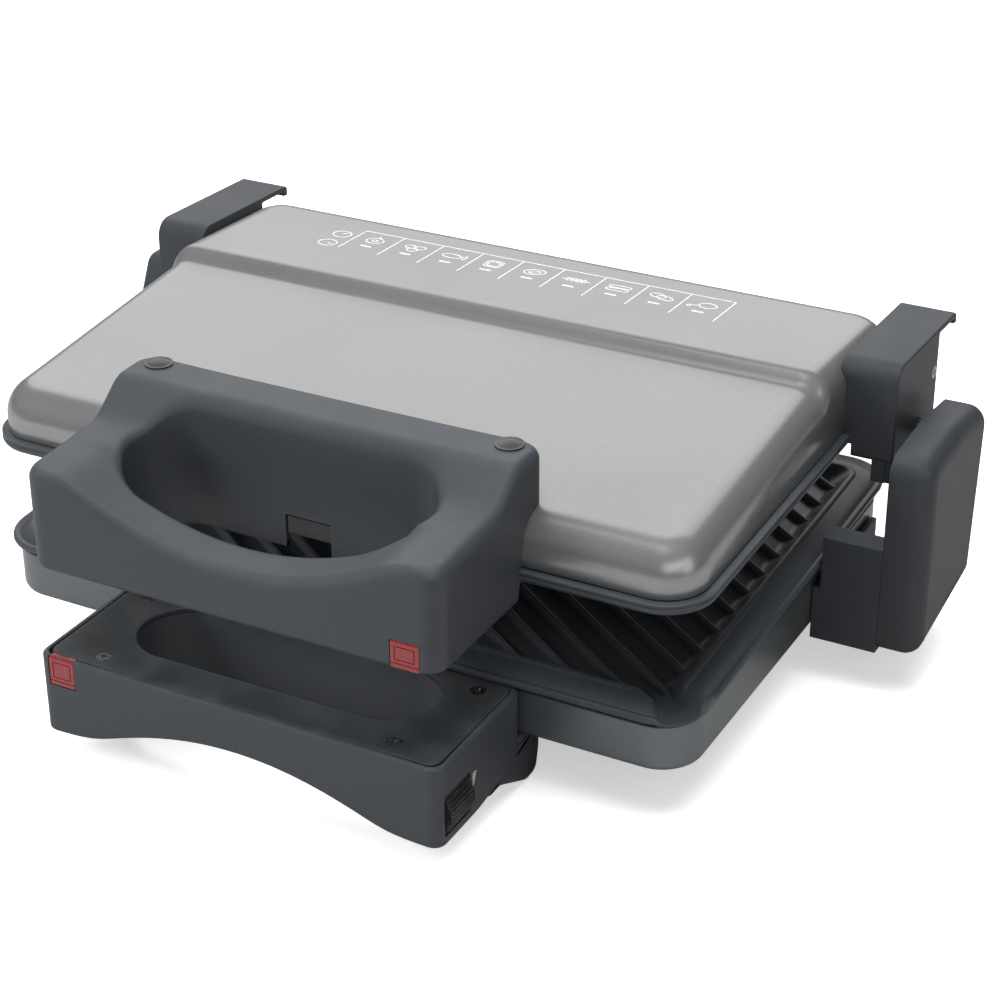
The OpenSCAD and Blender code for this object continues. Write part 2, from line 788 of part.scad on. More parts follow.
module upper_handle_cover() {
    color([0.2, 0.22, 0.23]) placed() difference() {
        translate([0, 1, 0]) cover_plate(up_grip_bottom);
        grip_hole(0, up_grip_bottom + 20);
        translate([0, -rim_over - gap, 0]) box([-pan_w, 0, 0], [pan_w, pan_d, lid_z]);
        lamp_pocket(up_lamp_x, up_grip_bottom - past, up_lamp_h, 0.1);
        at_cover_screws() {
            translate([0, 0, up_grip_bottom - past]) cylinder(r = screw_r + 0.1, h = inset_h + 2 * past);
            translate([0, 0, up_grip_bottom - past]) cylinder(r = 3.3, h = 1.4 + past);
        }
        clip_slot(up_grip_bottom - past, up_grip_bottom + inset_h + past);
    }
}
module upper_handle_screws() {
    color("silver") placed() at_cover_screws()
        translate([0, 0, up_grip_bottom + 1.4]) mirror([0, 0, 1])
            cross_screw(3.1, 1.2, screw_r - 0.05, 10);
}
module upper_lamp_lens() {
    color([0.7, 0.08, 0.08]) placed() lens(up_lamp_x, up_grip_bottom, up_lamp_h);
}
module upper_lamp_bulb() {
    color("orange") placed() bulb(up_lamp_x + lamp_w / 2, up_grip_bottom + 6);
}

/* ---- hinge caps, brackets and pins on the lid ---- */

bead_top = lid_z + cap_back * tan(lid_fall) + gap;
cap_screw_y = 203;
cap_screw_z = 93;
cap_outline = [
    [cap_front, cap_low, 2], [cap_back, cap_low, 3], [cap_back, cap_top - 3, 0.5],
    [rear_y - 1.5, cap_top - 6, 0.5], [rear_y, cap_top - 6, 0.5], [rear_y, cap_top - 3, 1],
    [cap_front, cap_top, 8]
];
module hinge_cap(s) {
    heel_in = 173;
    heel_out = 181;
    heel_back = 174;
    scale([s, 1, 1]) difference() {
        union() {
            difference() {
                across(cap_in, cap_out) polygon(soft(cap_outline));
                box([0, cap_front + wall, 0], [cap_out - wall, cap_back - wall, cap_top - 3 * wall]);
                box([0, cap_front - past, 0], [pan_w / 2 + rim_over + 2 * gap, rear_y + past, bead_top]);
                box([0, cap_back, 0], [pan_w / 2, rear_y + past, 2 * cap_top]);
            }
            box([heel_in, cap_front, heel_low], [heel_out, cap_front + wall, cap_low + 8]);
            box([heel_out - wall, cap_front, heel_low], [heel_out, heel_back, cap_low + 8]);
        }
        lid_form(0.2);
        rod_x(pin_y, pin_z, pin_r + 0.1, cap_out - 2 * wall, cap_out + past);
        rod_x(cap_screw_y, cap_screw_z, 1.6, cap_out - 2 * wall, cap_out + past);
        rod_x(cap_screw_y, cap_screw_z, 2.9, cap_out - 1, cap_out + past);
    }
}
module hinge_cap_right() {
    color([0.2, 0.22, 0.24]) placed() hinge_cap(1);
}
module hinge_cap_left() {
    color([0.2, 0.22, 0.24]) placed() hinge_cap(-1);
}
bracket_out = 179;
module lid_bracket(s) {
    thick = 2;
    low = 67;
    high = 101;
    near = pan_w / 2 + gap;
    scale([s, 1, 1]) difference() {
        union() {
            box([near, 166, 84], [near + thick, 204, high]);
            box([near, 166, 84], [bracket_out, 204, 84 + thick]);
            box([bracket_out - thick, 178, low], [bracket_out, 196, 84 + thick]);
            box([bracket_out - thick, 196 - slice, 84], [bracket_out, 204, high]);
        }
        rod_x(pin_y, pin_z, pin_r, bracket_out - 2 * thick, bracket_out + past);
        rod_x(cap_screw_y, cap_screw_z, 1.5, bracket_out - 2 * thick, bracket_out + past);
        for (y = bracket_screw_y) rod_x(y, bracket_screw_z, screw_hole, near - past, near + thick + past);
    }
}
module lid_bracket_right() {
    color("silver") placed() lid_bracket(1);
}
module lid_bracket_left() {
    color("silver") placed() lid_bracket(-1);
}
module hinge_pin(s) {
    scale([s, 1, 1]) {
        rod_x(pin_y, pin_z, pin_r, 172, slider_out + 0.5);
        rod_x(pin_y, pin_z, pin_r + 2, 172, bracket_out - 2);
    }
}
module hinge_pin_right() {
    color("silver") placed() hinge_pin(1);
}
module hinge_pin_left() {
    color("silver") placed() hinge_pin(-1);
}
module cap_screws() {
    color([0.12, 0.12, 0.13]) placed() for (s = [-1, 1])
        translate([s * (cap_out - 1), cap_screw_y, cap_screw_z]) rotate([0, 90 * s, 0])
            cross_screw(2.8, 1, screw_r - 0.1, 6);
}

lower_pan();
lower_heat_shield();
lower_heater();
lower_plate();
lower_plate_clip();
lower_handle();
lower_handle_cover();
lower_handle_screws();
lower_lamp_lens();
lower_lamp_bulb();
thermostat_body();
thermostat_sensor();
thermostat_spindle();
thermostat_wheel();
hinge_block_right();
hinge_block_left();
hinge_cover_right();
hinge_cover_left();
hinge_guide_right();
hinge_guide_left();
hinge_slider_right();
hinge_slider_left();
block_screws();
rear_legs();
foot_pads();
foot_screws();
inlet_gland();
terminal_block();
upper_shell();
upper_heat_shield();
upper_heater();
upper_plate();
upper_plate_clip();
upper_handle();
upper_handle_cover();
upper_handle_screws();
handle_bolts();
handle_bolt_caps();
upper_lamp_lens();
upper_lamp_bulb();
hinge_cap_right();
hinge_cap_left();
lid_bracket_right();
lid_bracket_left();
hinge_pin_right();
hinge_pin_left();
cap_screws();
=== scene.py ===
"""Contact grill with a floating lid: the visible surfaces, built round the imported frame."""

import logging
import math
from dataclasses import dataclass
from enum import Enum
from typing import Callable, Sequence

import bmesh
import bpy
import numpy as np
from mathutils import Matrix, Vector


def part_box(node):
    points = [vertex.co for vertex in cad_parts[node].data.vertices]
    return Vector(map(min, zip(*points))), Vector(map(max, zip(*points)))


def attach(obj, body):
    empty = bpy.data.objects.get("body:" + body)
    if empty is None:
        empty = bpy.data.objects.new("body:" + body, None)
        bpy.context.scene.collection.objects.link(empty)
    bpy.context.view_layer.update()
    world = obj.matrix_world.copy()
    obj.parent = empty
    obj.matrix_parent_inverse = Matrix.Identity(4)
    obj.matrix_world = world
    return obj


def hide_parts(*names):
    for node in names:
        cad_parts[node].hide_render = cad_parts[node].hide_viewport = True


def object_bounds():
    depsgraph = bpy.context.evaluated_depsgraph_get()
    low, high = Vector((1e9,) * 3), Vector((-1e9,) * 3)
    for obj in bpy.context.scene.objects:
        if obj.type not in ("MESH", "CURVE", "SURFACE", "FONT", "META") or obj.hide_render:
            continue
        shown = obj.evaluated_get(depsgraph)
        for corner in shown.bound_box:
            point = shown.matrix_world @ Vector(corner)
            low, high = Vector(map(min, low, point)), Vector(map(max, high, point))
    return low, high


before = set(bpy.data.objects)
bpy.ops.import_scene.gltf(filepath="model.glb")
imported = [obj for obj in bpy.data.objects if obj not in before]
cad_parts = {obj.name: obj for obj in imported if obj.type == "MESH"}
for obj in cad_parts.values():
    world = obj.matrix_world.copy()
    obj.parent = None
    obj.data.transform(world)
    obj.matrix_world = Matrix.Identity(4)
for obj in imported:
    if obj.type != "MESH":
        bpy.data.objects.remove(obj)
CAD_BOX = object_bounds()

LOG = logging.getLogger("grill")
MM = 0.001
Array = np.ndarray
Height = Callable[[Array, Array], Array]
Section = list[tuple[float, float, float, float]]


# ---------------------------------------------------------------- datum and meshes


class Side(Enum):
    """Which end of the object a piece belongs to, seen by the user."""

    RIGHT = 1
    LEFT = -1


class Body(Enum):
    """The rigid bodies that pieces ride on."""

    BASE = "base"
    LID = "lid"
    DIAL = "dial"
    CARRIAGE = "hinge_carriage"
    LOWER_CLIP = "lower_clip"
    UPPER_CLIP = "upper_clip"


@dataclass(frozen=True)
class Datum:
    """Working frame in millimetres: x = 0 in the middle, y = 0 at the pan's front, z = 0 under it."""

    y: float
    z: float

    def place(self, points: Array) -> Array:
        """Points in millimetres from the datum, turned into metres in the row's frame."""
        return np.asarray(points, float) * MM + np.array([0.0, self.y, self.z])


PAN_LOW, PAN_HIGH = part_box("lower_pan")
DATUM = Datum(PAN_LOW.y, PAN_LOW.z)


class Mesh:
    """Collects grids and loose faces, in millimetres from the datum, and makes one piece of them."""

    def __init__(self) -> None:
        """Starts with no points and no faces."""
        self.points: list[Array] = []
        self.faces: list[Sequence[int]] = []
        self.count = 0

    def add(self, points: Array, faces: Sequence[Sequence[int]]) -> "Mesh":
        """Adds points and the faces that index them from zero."""
        self.points.append(np.asarray(points, float).reshape(-1, 3))
        self.faces.extend([[i + self.count for i in f] for f in faces])
        self.count += len(self.points[-1])
        return self

    def grid(self, points: Array, wrap_u: bool = False, wrap_v: bool = False) -> "Mesh":
        """Adds a grid of quads.

        Args:
            points: array (rows, columns, 3).
            wrap_u: joins the last column to the first.
            wrap_v: joins the last row to the first.

        Returns:
            The mesh itself.
        """
        rows, cols = points.shape[:2]
        r = np.arange(rows if wrap_v else rows - 1)
        c = np.arange(cols if wrap_u else cols - 1)
        r0, c0 = np.meshgrid(r, c, indexing="ij")
        r1, c1 = (r0 + 1) % rows, (c0 + 1) % cols
        quads = np.stack([r0 * cols + c0, r0 * cols + c1, r1 * cols + c1, r1 * cols + c0], -1)
        return self.add(points, quads.reshape(-1, 4).tolist())

    def data(self, name: str) -> bpy.types.Mesh:
        """Mesh data in metres, with double points merged and its normals facing out."""
        data = bpy.data.meshes.new(name)
        data.from_pydata(DATUM.place(np.concatenate(self.points)).tolist(), [], self.faces)
        work = bmesh.new()
        work.from_mesh(data)
        bmesh.ops.remove_doubles(work, verts=work.verts, dist=2e-6)
        bmesh.ops.recalc_face_normals(work, faces=work.faces)
        work.to_mesh(data)
        work.free()
        return data

    def piece(self, name: str, body: Body, finish: "Finish", *nodes: str,
              sharp: float = 40.0) -> bpy.types.Object:
        """Makes the object, dresses it and lets it ride.

        Args:
            name: name of the piece.
            body: the body it moves with.
            finish: its material.
            nodes: CAD nodes that it stands for.
            sharp: angle in degrees past which an edge is not shaded smooth.

        Returns:
            The new object.
        """
        data = self.data(name)
        shade(data, sharp)
        return mount(linked(name, data), body, finish, *nodes)


def arc(radius: float, start: float, stop: float, count: int) -> Array:
    """Points on a circle about zero, at even angles from start to stop in degrees."""
    t = np.radians(np.linspace(start, stop, count))
    return radius * np.stack([np.cos(t), np.sin(t)], -1)


def step(t: Array) -> Array:
    """Smooth step: 3 t squared minus 2 t cubed, with t held between 0 and 1."""
    t = np.clip(t, 0.0, 1.0)
    return t * t * (3.0 - 2.0 * t)


def soft_min(a: Array, b: Array, width: float) -> Array:
    """The smaller of two heights, blended over a width: the mean less a rounded half difference."""
    return 0.5 * (a + b - np.sqrt((a - b) ** 2 + width * width))


def flat(z: float) -> Height:
    """A height that is the same everywhere."""
    return lambda x, y: np.full(np.shape(x), z)


def soft_outline(corners: Sequence[tuple[float, float, float]], count: int = 7) -> Array:
    """Closed outline with rounded corners.

    Each corner (x, y, r) is replaced by an arc of radius r that touches both of its sides.

    Args:
        corners: corner points with their radii, in order.
        count: points on each arc.

    Returns:
        Array (n, 2) of outline points.
    """
    pts = np.array([c[:2] for c in corners], float)
    out = []
    for i, (x, y, r) in enumerate(corners):
        here = pts[i]
        u = pts[i - 1] - here
        v = pts[(i + 1) % len(pts)] - here
        u, v = u / np.linalg.norm(u), v / np.linalg.norm(v)
        if r <= 0:
            out.append(here[None])
            continue
        half = math.acos(float(np.clip(u @ v, -1, 1))) / 2
        w = (u + v) / np.linalg.norm(u + v)
        start = math.degrees(math.atan2(-w[1], -w[0]))
        turn = math.degrees(math.pi / 2 - half) * (1 if u[0] * v[1] - u[1] * v[0] < 0 else -1)
        out.append(here + w * r / math.sin(half) + arc(r, start - turn, start + turn, count))
    return np.concatenate(out)


def loop_normals(loop: Array) -> Array:
    """Unit normals of a closed plane outline, pointing to the right of its direction of travel."""
    ahead = np.roll(loop, -1, 0) - loop
    ahead /= np.maximum(np.linalg.norm(ahead, axis=1, keepdims=True), 1e-9)
    both = ahead + np.roll(ahead, 1, 0)
    both /= np.maximum(np.linalg.norm(both, axis=1, keepdims=True), 1e-9)
    return np.stack([both[:, 1], -both[:, 0]], -1)


def prism(mesh: Mesh, outline: Array, low: float, high: float, ease_low: float, ease_high: float,
          axes: str = "yzx", steps: int = 5) -> Mesh:
    """Adds an extruded outline whose two end edges are rounded.

    Ring k of an end stands in by e (1 - sin t) and out to the end by e (1 - cos t).

    Args:
        mesh: mesh to add to.
        outline: closed outline (n, 2), anticlockwise.
        low: start of the extrusion.
        high: end of the extrusion.
        ease_low: radius of the rounding at the start.
        ease_high: radius of the rounding at the end.
        axes: which coordinates the outline's two axes and the extrusion are.
        steps: rings on each rounding.

    Returns:
        The mesh.
    """
    normal = loop_normals(outline)
    t = np.linspace(0, math.pi / 2, steps)
    inset = np.concatenate([ease_low * (1.08 - np.sin(t[:1])), ease_low * (1 - np.sin(t)),
                            ease_high * (1 - np.sin(t[::-1])), ease_high * (1.08 - np.sin(t[:1]))])
    level = np.concatenate([[low], low + ease_low * (1 - np.cos(t)),
                            high - ease_high * (1 - np.cos(t[::-1])), [high]])
    flat_pts = outline[None] - normal[None] * inset[:, None, None]
    levels = np.broadcast_to(level[:, None, None], (*flat_pts.shape[:2], 1))
    rings = np.concatenate([flat_pts, levels], -1)
    order = ["xyz".index(a) for a in axes]
    placed = np.empty_like(rings)
    for k, axis in enumerate(order):
        placed[..., axis] = rings[..., k]
    mesh.grid(placed, wrap_u=True)
    n = len(outline)
    mesh.add(placed[0], [list(range(n))[::-1]])
    return mesh.add(placed[-1], [list(range(n))])


@dataclass(frozen=True)
class Plan:
    """Rounded rectangle seen from above: half sizes, corner radius and centre, in millimetres.

    Moved in or out, its corner radius changes by as much, but never falls below least.
    """

    a: float
    b: float
    r: float
    cx: float = 0.0
    cy: float = 0.0
    corner: int = 12
    across: int = 40
    deep: int = 40
    least: float = 5.0

    def axis(self, half: float, count: int) -> Array:
        """Columns from -half to half: crowded as the sine in both corners, even between them."""
        t = np.linspace(0, math.pi / 2, self.corner)
        core = half - self.r
        end = core + self.r * np.sin(t)
        return np.concatenate([-end[::-1], np.linspace(-core, core, count + 1)[1:-1], end])

    def scale(self, values: Array, half: float, out: float) -> Array:
        """Positions moved out: the straight part and the corner part are each stretched to fit."""
        r = max(self.r + out, self.least)
        core = half - self.r
        straight = np.minimum(np.abs(values), core) * (half + out - r) / core
        return np.sign(values) * (straight + np.maximum(np.abs(values) - core, 0) * r / self.r)

    def core(self, x: Array, y: Array) -> tuple[Array, Array]:
        """Nearest points on the rectangle of corner centres."""
        return (np.clip(x, self.cx - self.a + self.r, self.cx + self.a - self.r),
                np.clip(y, self.cy - self.b + self.r, self.cy + self.b - self.r))

    def grid(self, out: float) -> tuple[Array, Array]:
        """A filled grid whose edge is the outline moved out by out.

        Rows are pulled towards the middle in the corner columns by the outline's own fall there,
        fading to nothing 2.5 corner radii in.

        Args:
            out: distance outwards; negative values are insets.

        Returns:
            Arrays x and y, each (rows, columns).
        """
        r = max(self.r + out, self.least)
        col = self.scale(self.axis(self.a, self.across), self.a, out)
        row = self.scale(self.axis(self.b, self.deep), self.b, out)
        core_a = self.a + out - r
        fall = r - np.sqrt(np.maximum(r * r - np.maximum(np.abs(col) - core_a, 0) ** 2, 0))
        reach = min(self.b + out, 2.5 * r)
        pull = np.clip((np.abs(row) - (self.b + out - reach)) / reach, 0, 1)
        x = np.broadcast_to(col[None], (len(row), len(col)))
        y = row[:, None] - np.sign(row)[:, None] * pull[:, None] * fall[None]
        return x + self.cx, y + self.cy

    def slab(self, mesh: Mesh, rings: Sequence[tuple[float, Height]]) -> Mesh:
        """Adds a closed solid: a filled grid, rings round its edge, and a filled grid below.

        Args:
            mesh: mesh to add to.
            rings: (distance out of the outline, height) from the upper grid to the lower one.

        Returns:
            The mesh.
        """
        grids = []
        for out, height in (rings[0], rings[-1]):
            x, y = self.grid(out)
            grids.append(np.stack([x, y, height(x, y)], -1))
        x, y = self.grid(0.0)
        rim = np.stack([x, y], -1)
        edge = np.concatenate([rim[0], rim[1:, -1], rim[-1, -2::-1], rim[-2:0:-1, 0]])
        cx, cy = self.core(edge[:, 0], edge[:, 1])
        away = np.stack([edge[:, 0] - cx, edge[:, 1] - cy], -1)
        away /= np.linalg.norm(away, axis=1, keepdims=True)
        loops = []
        for out, height in rings:
            r = max(self.r + out, self.least)
            x = self.cx + (cx - self.cx) * (self.a + out - r) / (self.a - self.r) + away[:, 0] * r
            y = self.cy + (cy - self.cy) * (self.b + out - r) / (self.b - self.r) + away[:, 1] * r
            loops.append(np.stack([x, y, height(x, y)], -1))
        mesh.grid(np.array(loops), wrap_u=True)
        mesh.grid(grids[0])
        return mesh.grid(grids[1])


def fold(radius: float, height: Height, steps: int = 7,
         down: bool = True) -> list[tuple[float, Height]]:
    """Rings of a folded edge: out by r (sin t - 1), down by r (1 - cos t).

    Args:
        radius: radius of the fold.
        height: surface that the fold leaves.
        steps: rings on the fold.
        down: the fold goes down from the surface, or else up.

    Returns:
        Rings for Plan.slab, from the surface outwards.
    """
    sign = -1 if down else 1
    return [(radius * (math.sin(t) - 1), shifted(height, sign * radius * (1 - math.cos(t))))
            for t in np.linspace(0, math.pi / 2, steps)]


def shifted(height: Height, by: float) -> Height:
    """The same height, moved up."""
    return lambda x, y: height(x, y) + by


@dataclass(frozen=True)
class Ring:
    """A bar that runs round a hole with half-round ends, between the hole and an outer outline."""

    outer: Plan
    hole_half: float
    hole_r: float
    hole_y: float

    def build(self, mesh: Mesh, section: Section, low: Height, high: Height, around: int = 26,
              cut: float | None = None) -> Mesh:
        """Adds the bar.

        A section point (f, d, g, h) lies f of the way from the hole to the outline plus d, at
        g of the way from low to high plus h. The hole point is the one nearest the outline point.

        Args:
            mesh: mesh to add to.
            section: closed section, as such points.
            low: underside.
            high: upper side.
            around: points along each straight side.
            cut: the stations either side of this y close up to it, where low or high jumps.

        Returns:
            The mesh.
        """
        plan = Plan(self.outer.a, self.outer.b, self.outer.r, self.outer.cx, self.outer.cy,
                    self.outer.corner, around * 3, around)
        x, y = plan.grid(0.0)
        xy = np.stack([x, y], -1)
        edge = np.concatenate([xy[0], xy[1:, -1], xy[-1, -2::-1], xy[-2:0:-1, 0]])
        if cut is not None:
            for sign in (-1, 1):
                side = np.abs(edge[:, 0] - self.outer.cx - sign * self.outer.a) < 1e-6
                gap = edge[:, 1] - cut
                for half in (side & (gap < 0), side & (gap >= 0)):
                    index = np.flatnonzero(half)
                    closest = index[np.argmin(np.abs(gap[index]))]
                    edge[closest, 1] = cut + 0.02 * (1 if gap[closest] >= 0 else -1)
        near = np.stack([np.clip(edge[:, 0], -self.hole_half, self.hole_half),
                         np.full(len(edge), self.hole_y)], -1)
        away = edge - near
        reach = np.linalg.norm(away, axis=1, keepdims=True)
        away /= reach
        inner = near + away * self.hole_r
        width = reach - self.hole_r
        sec = np.array(section)
        d = sec[:, None, 0:1] * width[None] + sec[:, None, 1:2]
        p = inner[None] + away[None] * d
        lo, hi = low(p[..., 0], p[..., 1]), high(p[..., 0], p[..., 1])
        z = lo + sec[:, None, 2] * (hi - lo) + sec[:, None, 3]
        return mesh.grid(np.concatenate([p, z[..., None]], -1), wrap_u=True, wrap_v=True)


def bar_section(in_top: float, out_top: float, in_low: float, out_low: float, top_drop: float = 0.0,
                low_drop: float = 0.0, lip: float = 2.5, steps: int = 6, flats: int = 12,
                walls: int = 8) -> Section:
    """Closed section of a ring: a box whose four corners have their own radii.

    Each corner is r (1 - cos t) along one side and r (1 - sin t) along the other. A drop sinks
    that side inside a lip, to take a cover plate.

    Args:
        in_top: radius at the hole's upper rim.
        out_top: radius at the outer upper edge.
        in_low: radius at the hole's lower rim.
        out_low: radius at the outer lower edge.
        top_drop: depth of the tray in the top.
        low_drop: depth of the tray in the underside.
        lip: width of the lip round a tray.
        steps: points on each corner.
        flats: points across the top and the bottom.
        walls: points up each wall.

    Returns:
        Section points for Ring.build.
    """
    t = np.linspace(0, math.pi / 2, steps)
    across = np.linspace(0, 1, flats + 2)[1:-1]
    if top_drop:
        pts: Section = [(0, 0, 1, -top_drop)] + [(k, -lip * k, 1, -top_drop) for k in across]
        pts += [(1, -lip, 1, -top_drop), (1, -lip, 1, -0.3), (1, -lip + 0.3, 1, 0)]
    else:
        pts = [(0, in_top * (1 - math.cos(a)), 1, -in_top * (1 - math.sin(a))) for a in t]
        pts += [(k, in_top * (1 - k) - out_top * k, 1, 0) for k in across]
    pts += [(1, -out_top * (1 - math.sin(a)), 1, -out_top * (1 - math.cos(a))) for a in t]
    pts += [(1, 0, k, -out_top * k + out_low * (1 - k)) for k in np.linspace(1, 0, walls + 2)[1:-1]]
    pts += [(1, -out_low * (1 - math.cos(a)), 0, out_low * (1 - math.sin(a))) for a in t]
    if low_drop:
        pts += [(1, -lip, 0, 0), (1, -lip, 0, low_drop)]
        pts += [(k, -lip * k, 0, low_drop) for k in across[::-1]]
        pts += [(0, 0, 0, low_drop)]
    else:
        pts += [(k, in_low * (1 - k) - out_low * k, 0, 0) for k in across[::-1]]
        pts += [(0, in_low * (1 - math.sin(a)), 0, in_low * (1 - math.cos(a))) for a in t]
    top, low = top_drop or in_top, low_drop or in_low
    return pts + [(0, 0, k, -top * k + low * (1 - k)) for k in np.linspace(0, 1, walls + 2)[1:-1]]


def lathe(mesh: Mesh, profile: Sequence[tuple[float, float]], centre: Sequence[float], axis: str = "z",
          count: int = 32) -> Mesh:
    """Adds a turned solid: profile (radius, height) spun about an axis, with closed poles.

    Args:
        mesh: mesh to add to.
        profile: points from one pole to the other, starting and ending at radius zero.
        centre: point that height zero lies on.
        axis: the axis of the turning.
        count: points round.

    Returns:
        The mesh.
    """
    prof = np.array(profile, float)
    t = np.linspace(0, 2 * math.pi, count, endpoint=False)
    ring = np.stack([prof[:, None, 0] * np.cos(t), prof[:, None, 0] * np.sin(t),
                     np.broadcast_to(prof[:, None, 1], (len(prof), count))], -1)
    turn = {"z": [0, 1, 2], "x": [2, 0, 1], "y": [1, 2, 0]}[axis]
    return mesh.grid(ring[..., turn] + np.array(centre, float), wrap_u=True)


# ---------------------------------------------------------------- shader nodes

Colour = tuple[float, float, float]
Lay = Callable[["Net", object, object], None]


class Net:
    """Short hand for adding and joining shader nodes in one tree."""

    def __init__(self, tree: bpy.types.NodeTree) -> None:
        """Works in the given tree."""
        self.tree = tree

    def node(self, kind: str, **props: object) -> bpy.types.Node:
        """A new node of a kind, with properties set."""
        made = self.tree.nodes.new(kind)
        for key, value in props.items():
            setattr(made, key, value)
        return made

    def join(self, source: object, target: bpy.types.NodeSocket) -> None:
        """Links a socket, or sets a plain value."""
        if isinstance(source, bpy.types.NodeSocket):
            self.tree.links.new(source, target)
        else:
            target.default_value = source

    def math(self, operation: str, a: object, b: object) -> bpy.types.NodeSocket:
        """The result of a math node on two sockets or numbers."""
        made = self.node("ShaderNodeMath", operation=operation)
        self.join(a, made.inputs[0])
        self.join(b, made.inputs[1])
        return made.outputs[0]

    def ramp(self, value: object, low: float, high: float, to_low: float = 0.0,
             to_high: float = 1.0) -> bpy.types.NodeSocket:
        """A value mapped from low..high to to_low..to_high and held there."""
        made = self.node("ShaderNodeMapRange")
        for key, item in zip(("Value", "From Min", "From Max", "To Min", "To Max"),
                             (value, low, high, to_low, to_high)):
            self.join(item, made.inputs[key])
        return made.outputs[0]

    def around(self, value: object, low: float, high: float, middle: float,
               spread: float) -> bpy.types.NodeSocket:
        """A value mapped from low..high to a spread either side of a middle."""
        return self.ramp(value, low, high, middle - spread, middle + spread)

    def mix(self, factor: object, a: object, b: object) -> bpy.types.NodeSocket:
        """A colour between two colours."""
        made = self.node("ShaderNodeMix", data_type="RGBA")
        self.join(factor, made.inputs[0])
        for item, socket in ((a, made.inputs[6]), (b, made.inputs[7])):
            self.join((*item, 1.0) if isinstance(item, tuple) else item, socket)
        return made.outputs[2]

    def tint(self, factor: object, colour: Colour, low: float, high: float) -> bpy.types.NodeSocket:
        """A colour between the given one times low and the same times high."""
        return self.mix(factor, *(tuple(min(1.0, c * k) for c in colour) for k in (low, high)))

    def group(self, tree: bpy.types.NodeTree, **values: object) -> bpy.types.Node:
        """A shared group placed in this tree, with its inputs set."""
        made = self.node("ShaderNodeGroup")
        made.node_tree = tree
        for key, value in values.items():
            self.join(value, made.inputs[key])
        return made

    def where(self) -> bpy.types.NodeSocket:
        """Object coordinates, in metres."""
        return self.node("ShaderNodeTexCoord").outputs["Object"]

    def noise(self, scale: object, detail: float = 2.0, where: object = None) -> bpy.types.NodeSocket:
        """Noise about 0.5, at a scale per metre."""
        made = self.node("ShaderNodeTexNoise")
        made.inputs["Detail"].default_value = detail
        self.join(scale, made.inputs["Scale"])
        self.join(where or self.where(), made.inputs["Vector"])
        return made.outputs[0]

    def cells(self, scale: object) -> bpy.types.Node:
        """Voronoi cells, at a scale per metre."""
        made = self.node("ShaderNodeTexVoronoi")
        self.join(scale, made.inputs["Scale"])
        self.join(self.where(), made.inputs["Vector"])
        return made

    def bump(self, height: object, depth: float, strength: float) -> bpy.types.NodeSocket:
        """A normal from a height, with its depth in metres."""
        made = self.node("ShaderNodeBump")
        made.inputs["Strength"].default_value = strength
        made.inputs["Distance"].default_value = depth
        self.join(height, made.inputs["Height"])
        return made.outputs[0]


def shared(name: str, inputs: dict[str, float], outputs: Sequence[str], lay: Lay) -> bpy.types.NodeTree:
    """A shader node group, laid out the first time it is asked for.

    Args:
        name: name of the group.
        inputs: name and default of each float input.
        outputs: names of the float outputs.
        lay: lays the nodes, given the tree, the group's inputs and its outputs.

    Returns:
        The group.
    """
    if name not in bpy.data.node_groups:
        tree = bpy.data.node_groups.new(name, "ShaderNodeTree")
        for key, value in inputs.items():
            socket = tree.interface.new_socket(key, in_out="INPUT", socket_type="NodeSocketFloat")
            socket.default_value = value
        for key in outputs:
            tree.interface.new_socket(key, in_out="OUTPUT", socket_type="NodeSocketFloat")
        net = Net(tree)
        lay(net, net.node("NodeGroupInput").outputs, net.node("NodeGroupOutput").inputs)
    return bpy.data.node_groups[name]


class Effect:
    """Shared effects, each one group: moulded grain, rubbed edges and settled dust."""

    @staticmethod
    def grain() -> bpy.types.NodeTree:
        """Moulded grain: cells and fine noise. Scale is per metre; Height is 0 to 1, Mottle is slow."""

        def lay(net: Net, given: object, out: object) -> None:
            """Height is cells times Cells plus noise times the rest."""
            cells = net.math("MULTIPLY", net.cells(given["Scale"]).outputs["Distance"], given["Cells"])
            fine = net.noise(net.math("MULTIPLY", given["Scale"], 2.3))
            rest = net.math("MULTIPLY", fine, net.math("SUBTRACT", 1.0, given["Cells"]))
            net.join(net.math("ADD", cells, rest), out["Height"])
            net.join(net.noise(22.0, 4.0), out["Mottle"])

        return shared("moulded_grain", {"Scale": 1400.0, "Cells": 0.5}, ["Height", "Mottle"], lay)

    @staticmethod
    def wear() -> bpy.types.NodeTree:
        """Rubbed edges: where the surface is convex, broken up by noise. Amount scales the mask."""

        def lay(net: Net, given: object, out: object) -> None:
            """Mask is the convex part times patchy noise times Amount."""
            edge = net.ramp(net.node("ShaderNodeNewGeometry").outputs["Pointiness"], 0.505, 0.56)
            patch = net.ramp(net.noise(given["Scale"], 5.0), 0.42, 0.62)
            mask = net.math("MULTIPLY", edge, patch)
            net.join(net.math("MULTIPLY", mask, given["Amount"]), out["Mask"])

        return shared("rubbed_edge", {"Amount": 1.0, "Scale": 90.0}, ["Mask"], lay)

    @staticmethod
    def dust() -> bpy.types.NodeTree:
        """Light dust on what faces up: the normal's height times noise. Amount scales the mask."""

        def lay(net: Net, given: object, out: object) -> None:
            """Mask is how far the face looks up times noise times Amount."""
            split = net.node("ShaderNodeSeparateXYZ")
            net.join(net.node("ShaderNodeNewGeometry").outputs["Normal"], split.inputs[0])
            up = net.ramp(split.outputs["Z"], 0.3, 1.0)
            patch = net.ramp(net.noise(given["Scale"], 6.0), 0.4, 0.75)
            mask = net.math("MULTIPLY", up, patch)
            net.join(net.math("MULTIPLY", mask, given["Amount"]), out["Mask"])

        return shared("settled_dust", {"Amount": 0.1, "Scale": 40.0}, ["Mask"], lay)


# ---------------------------------------------------------------- finishes


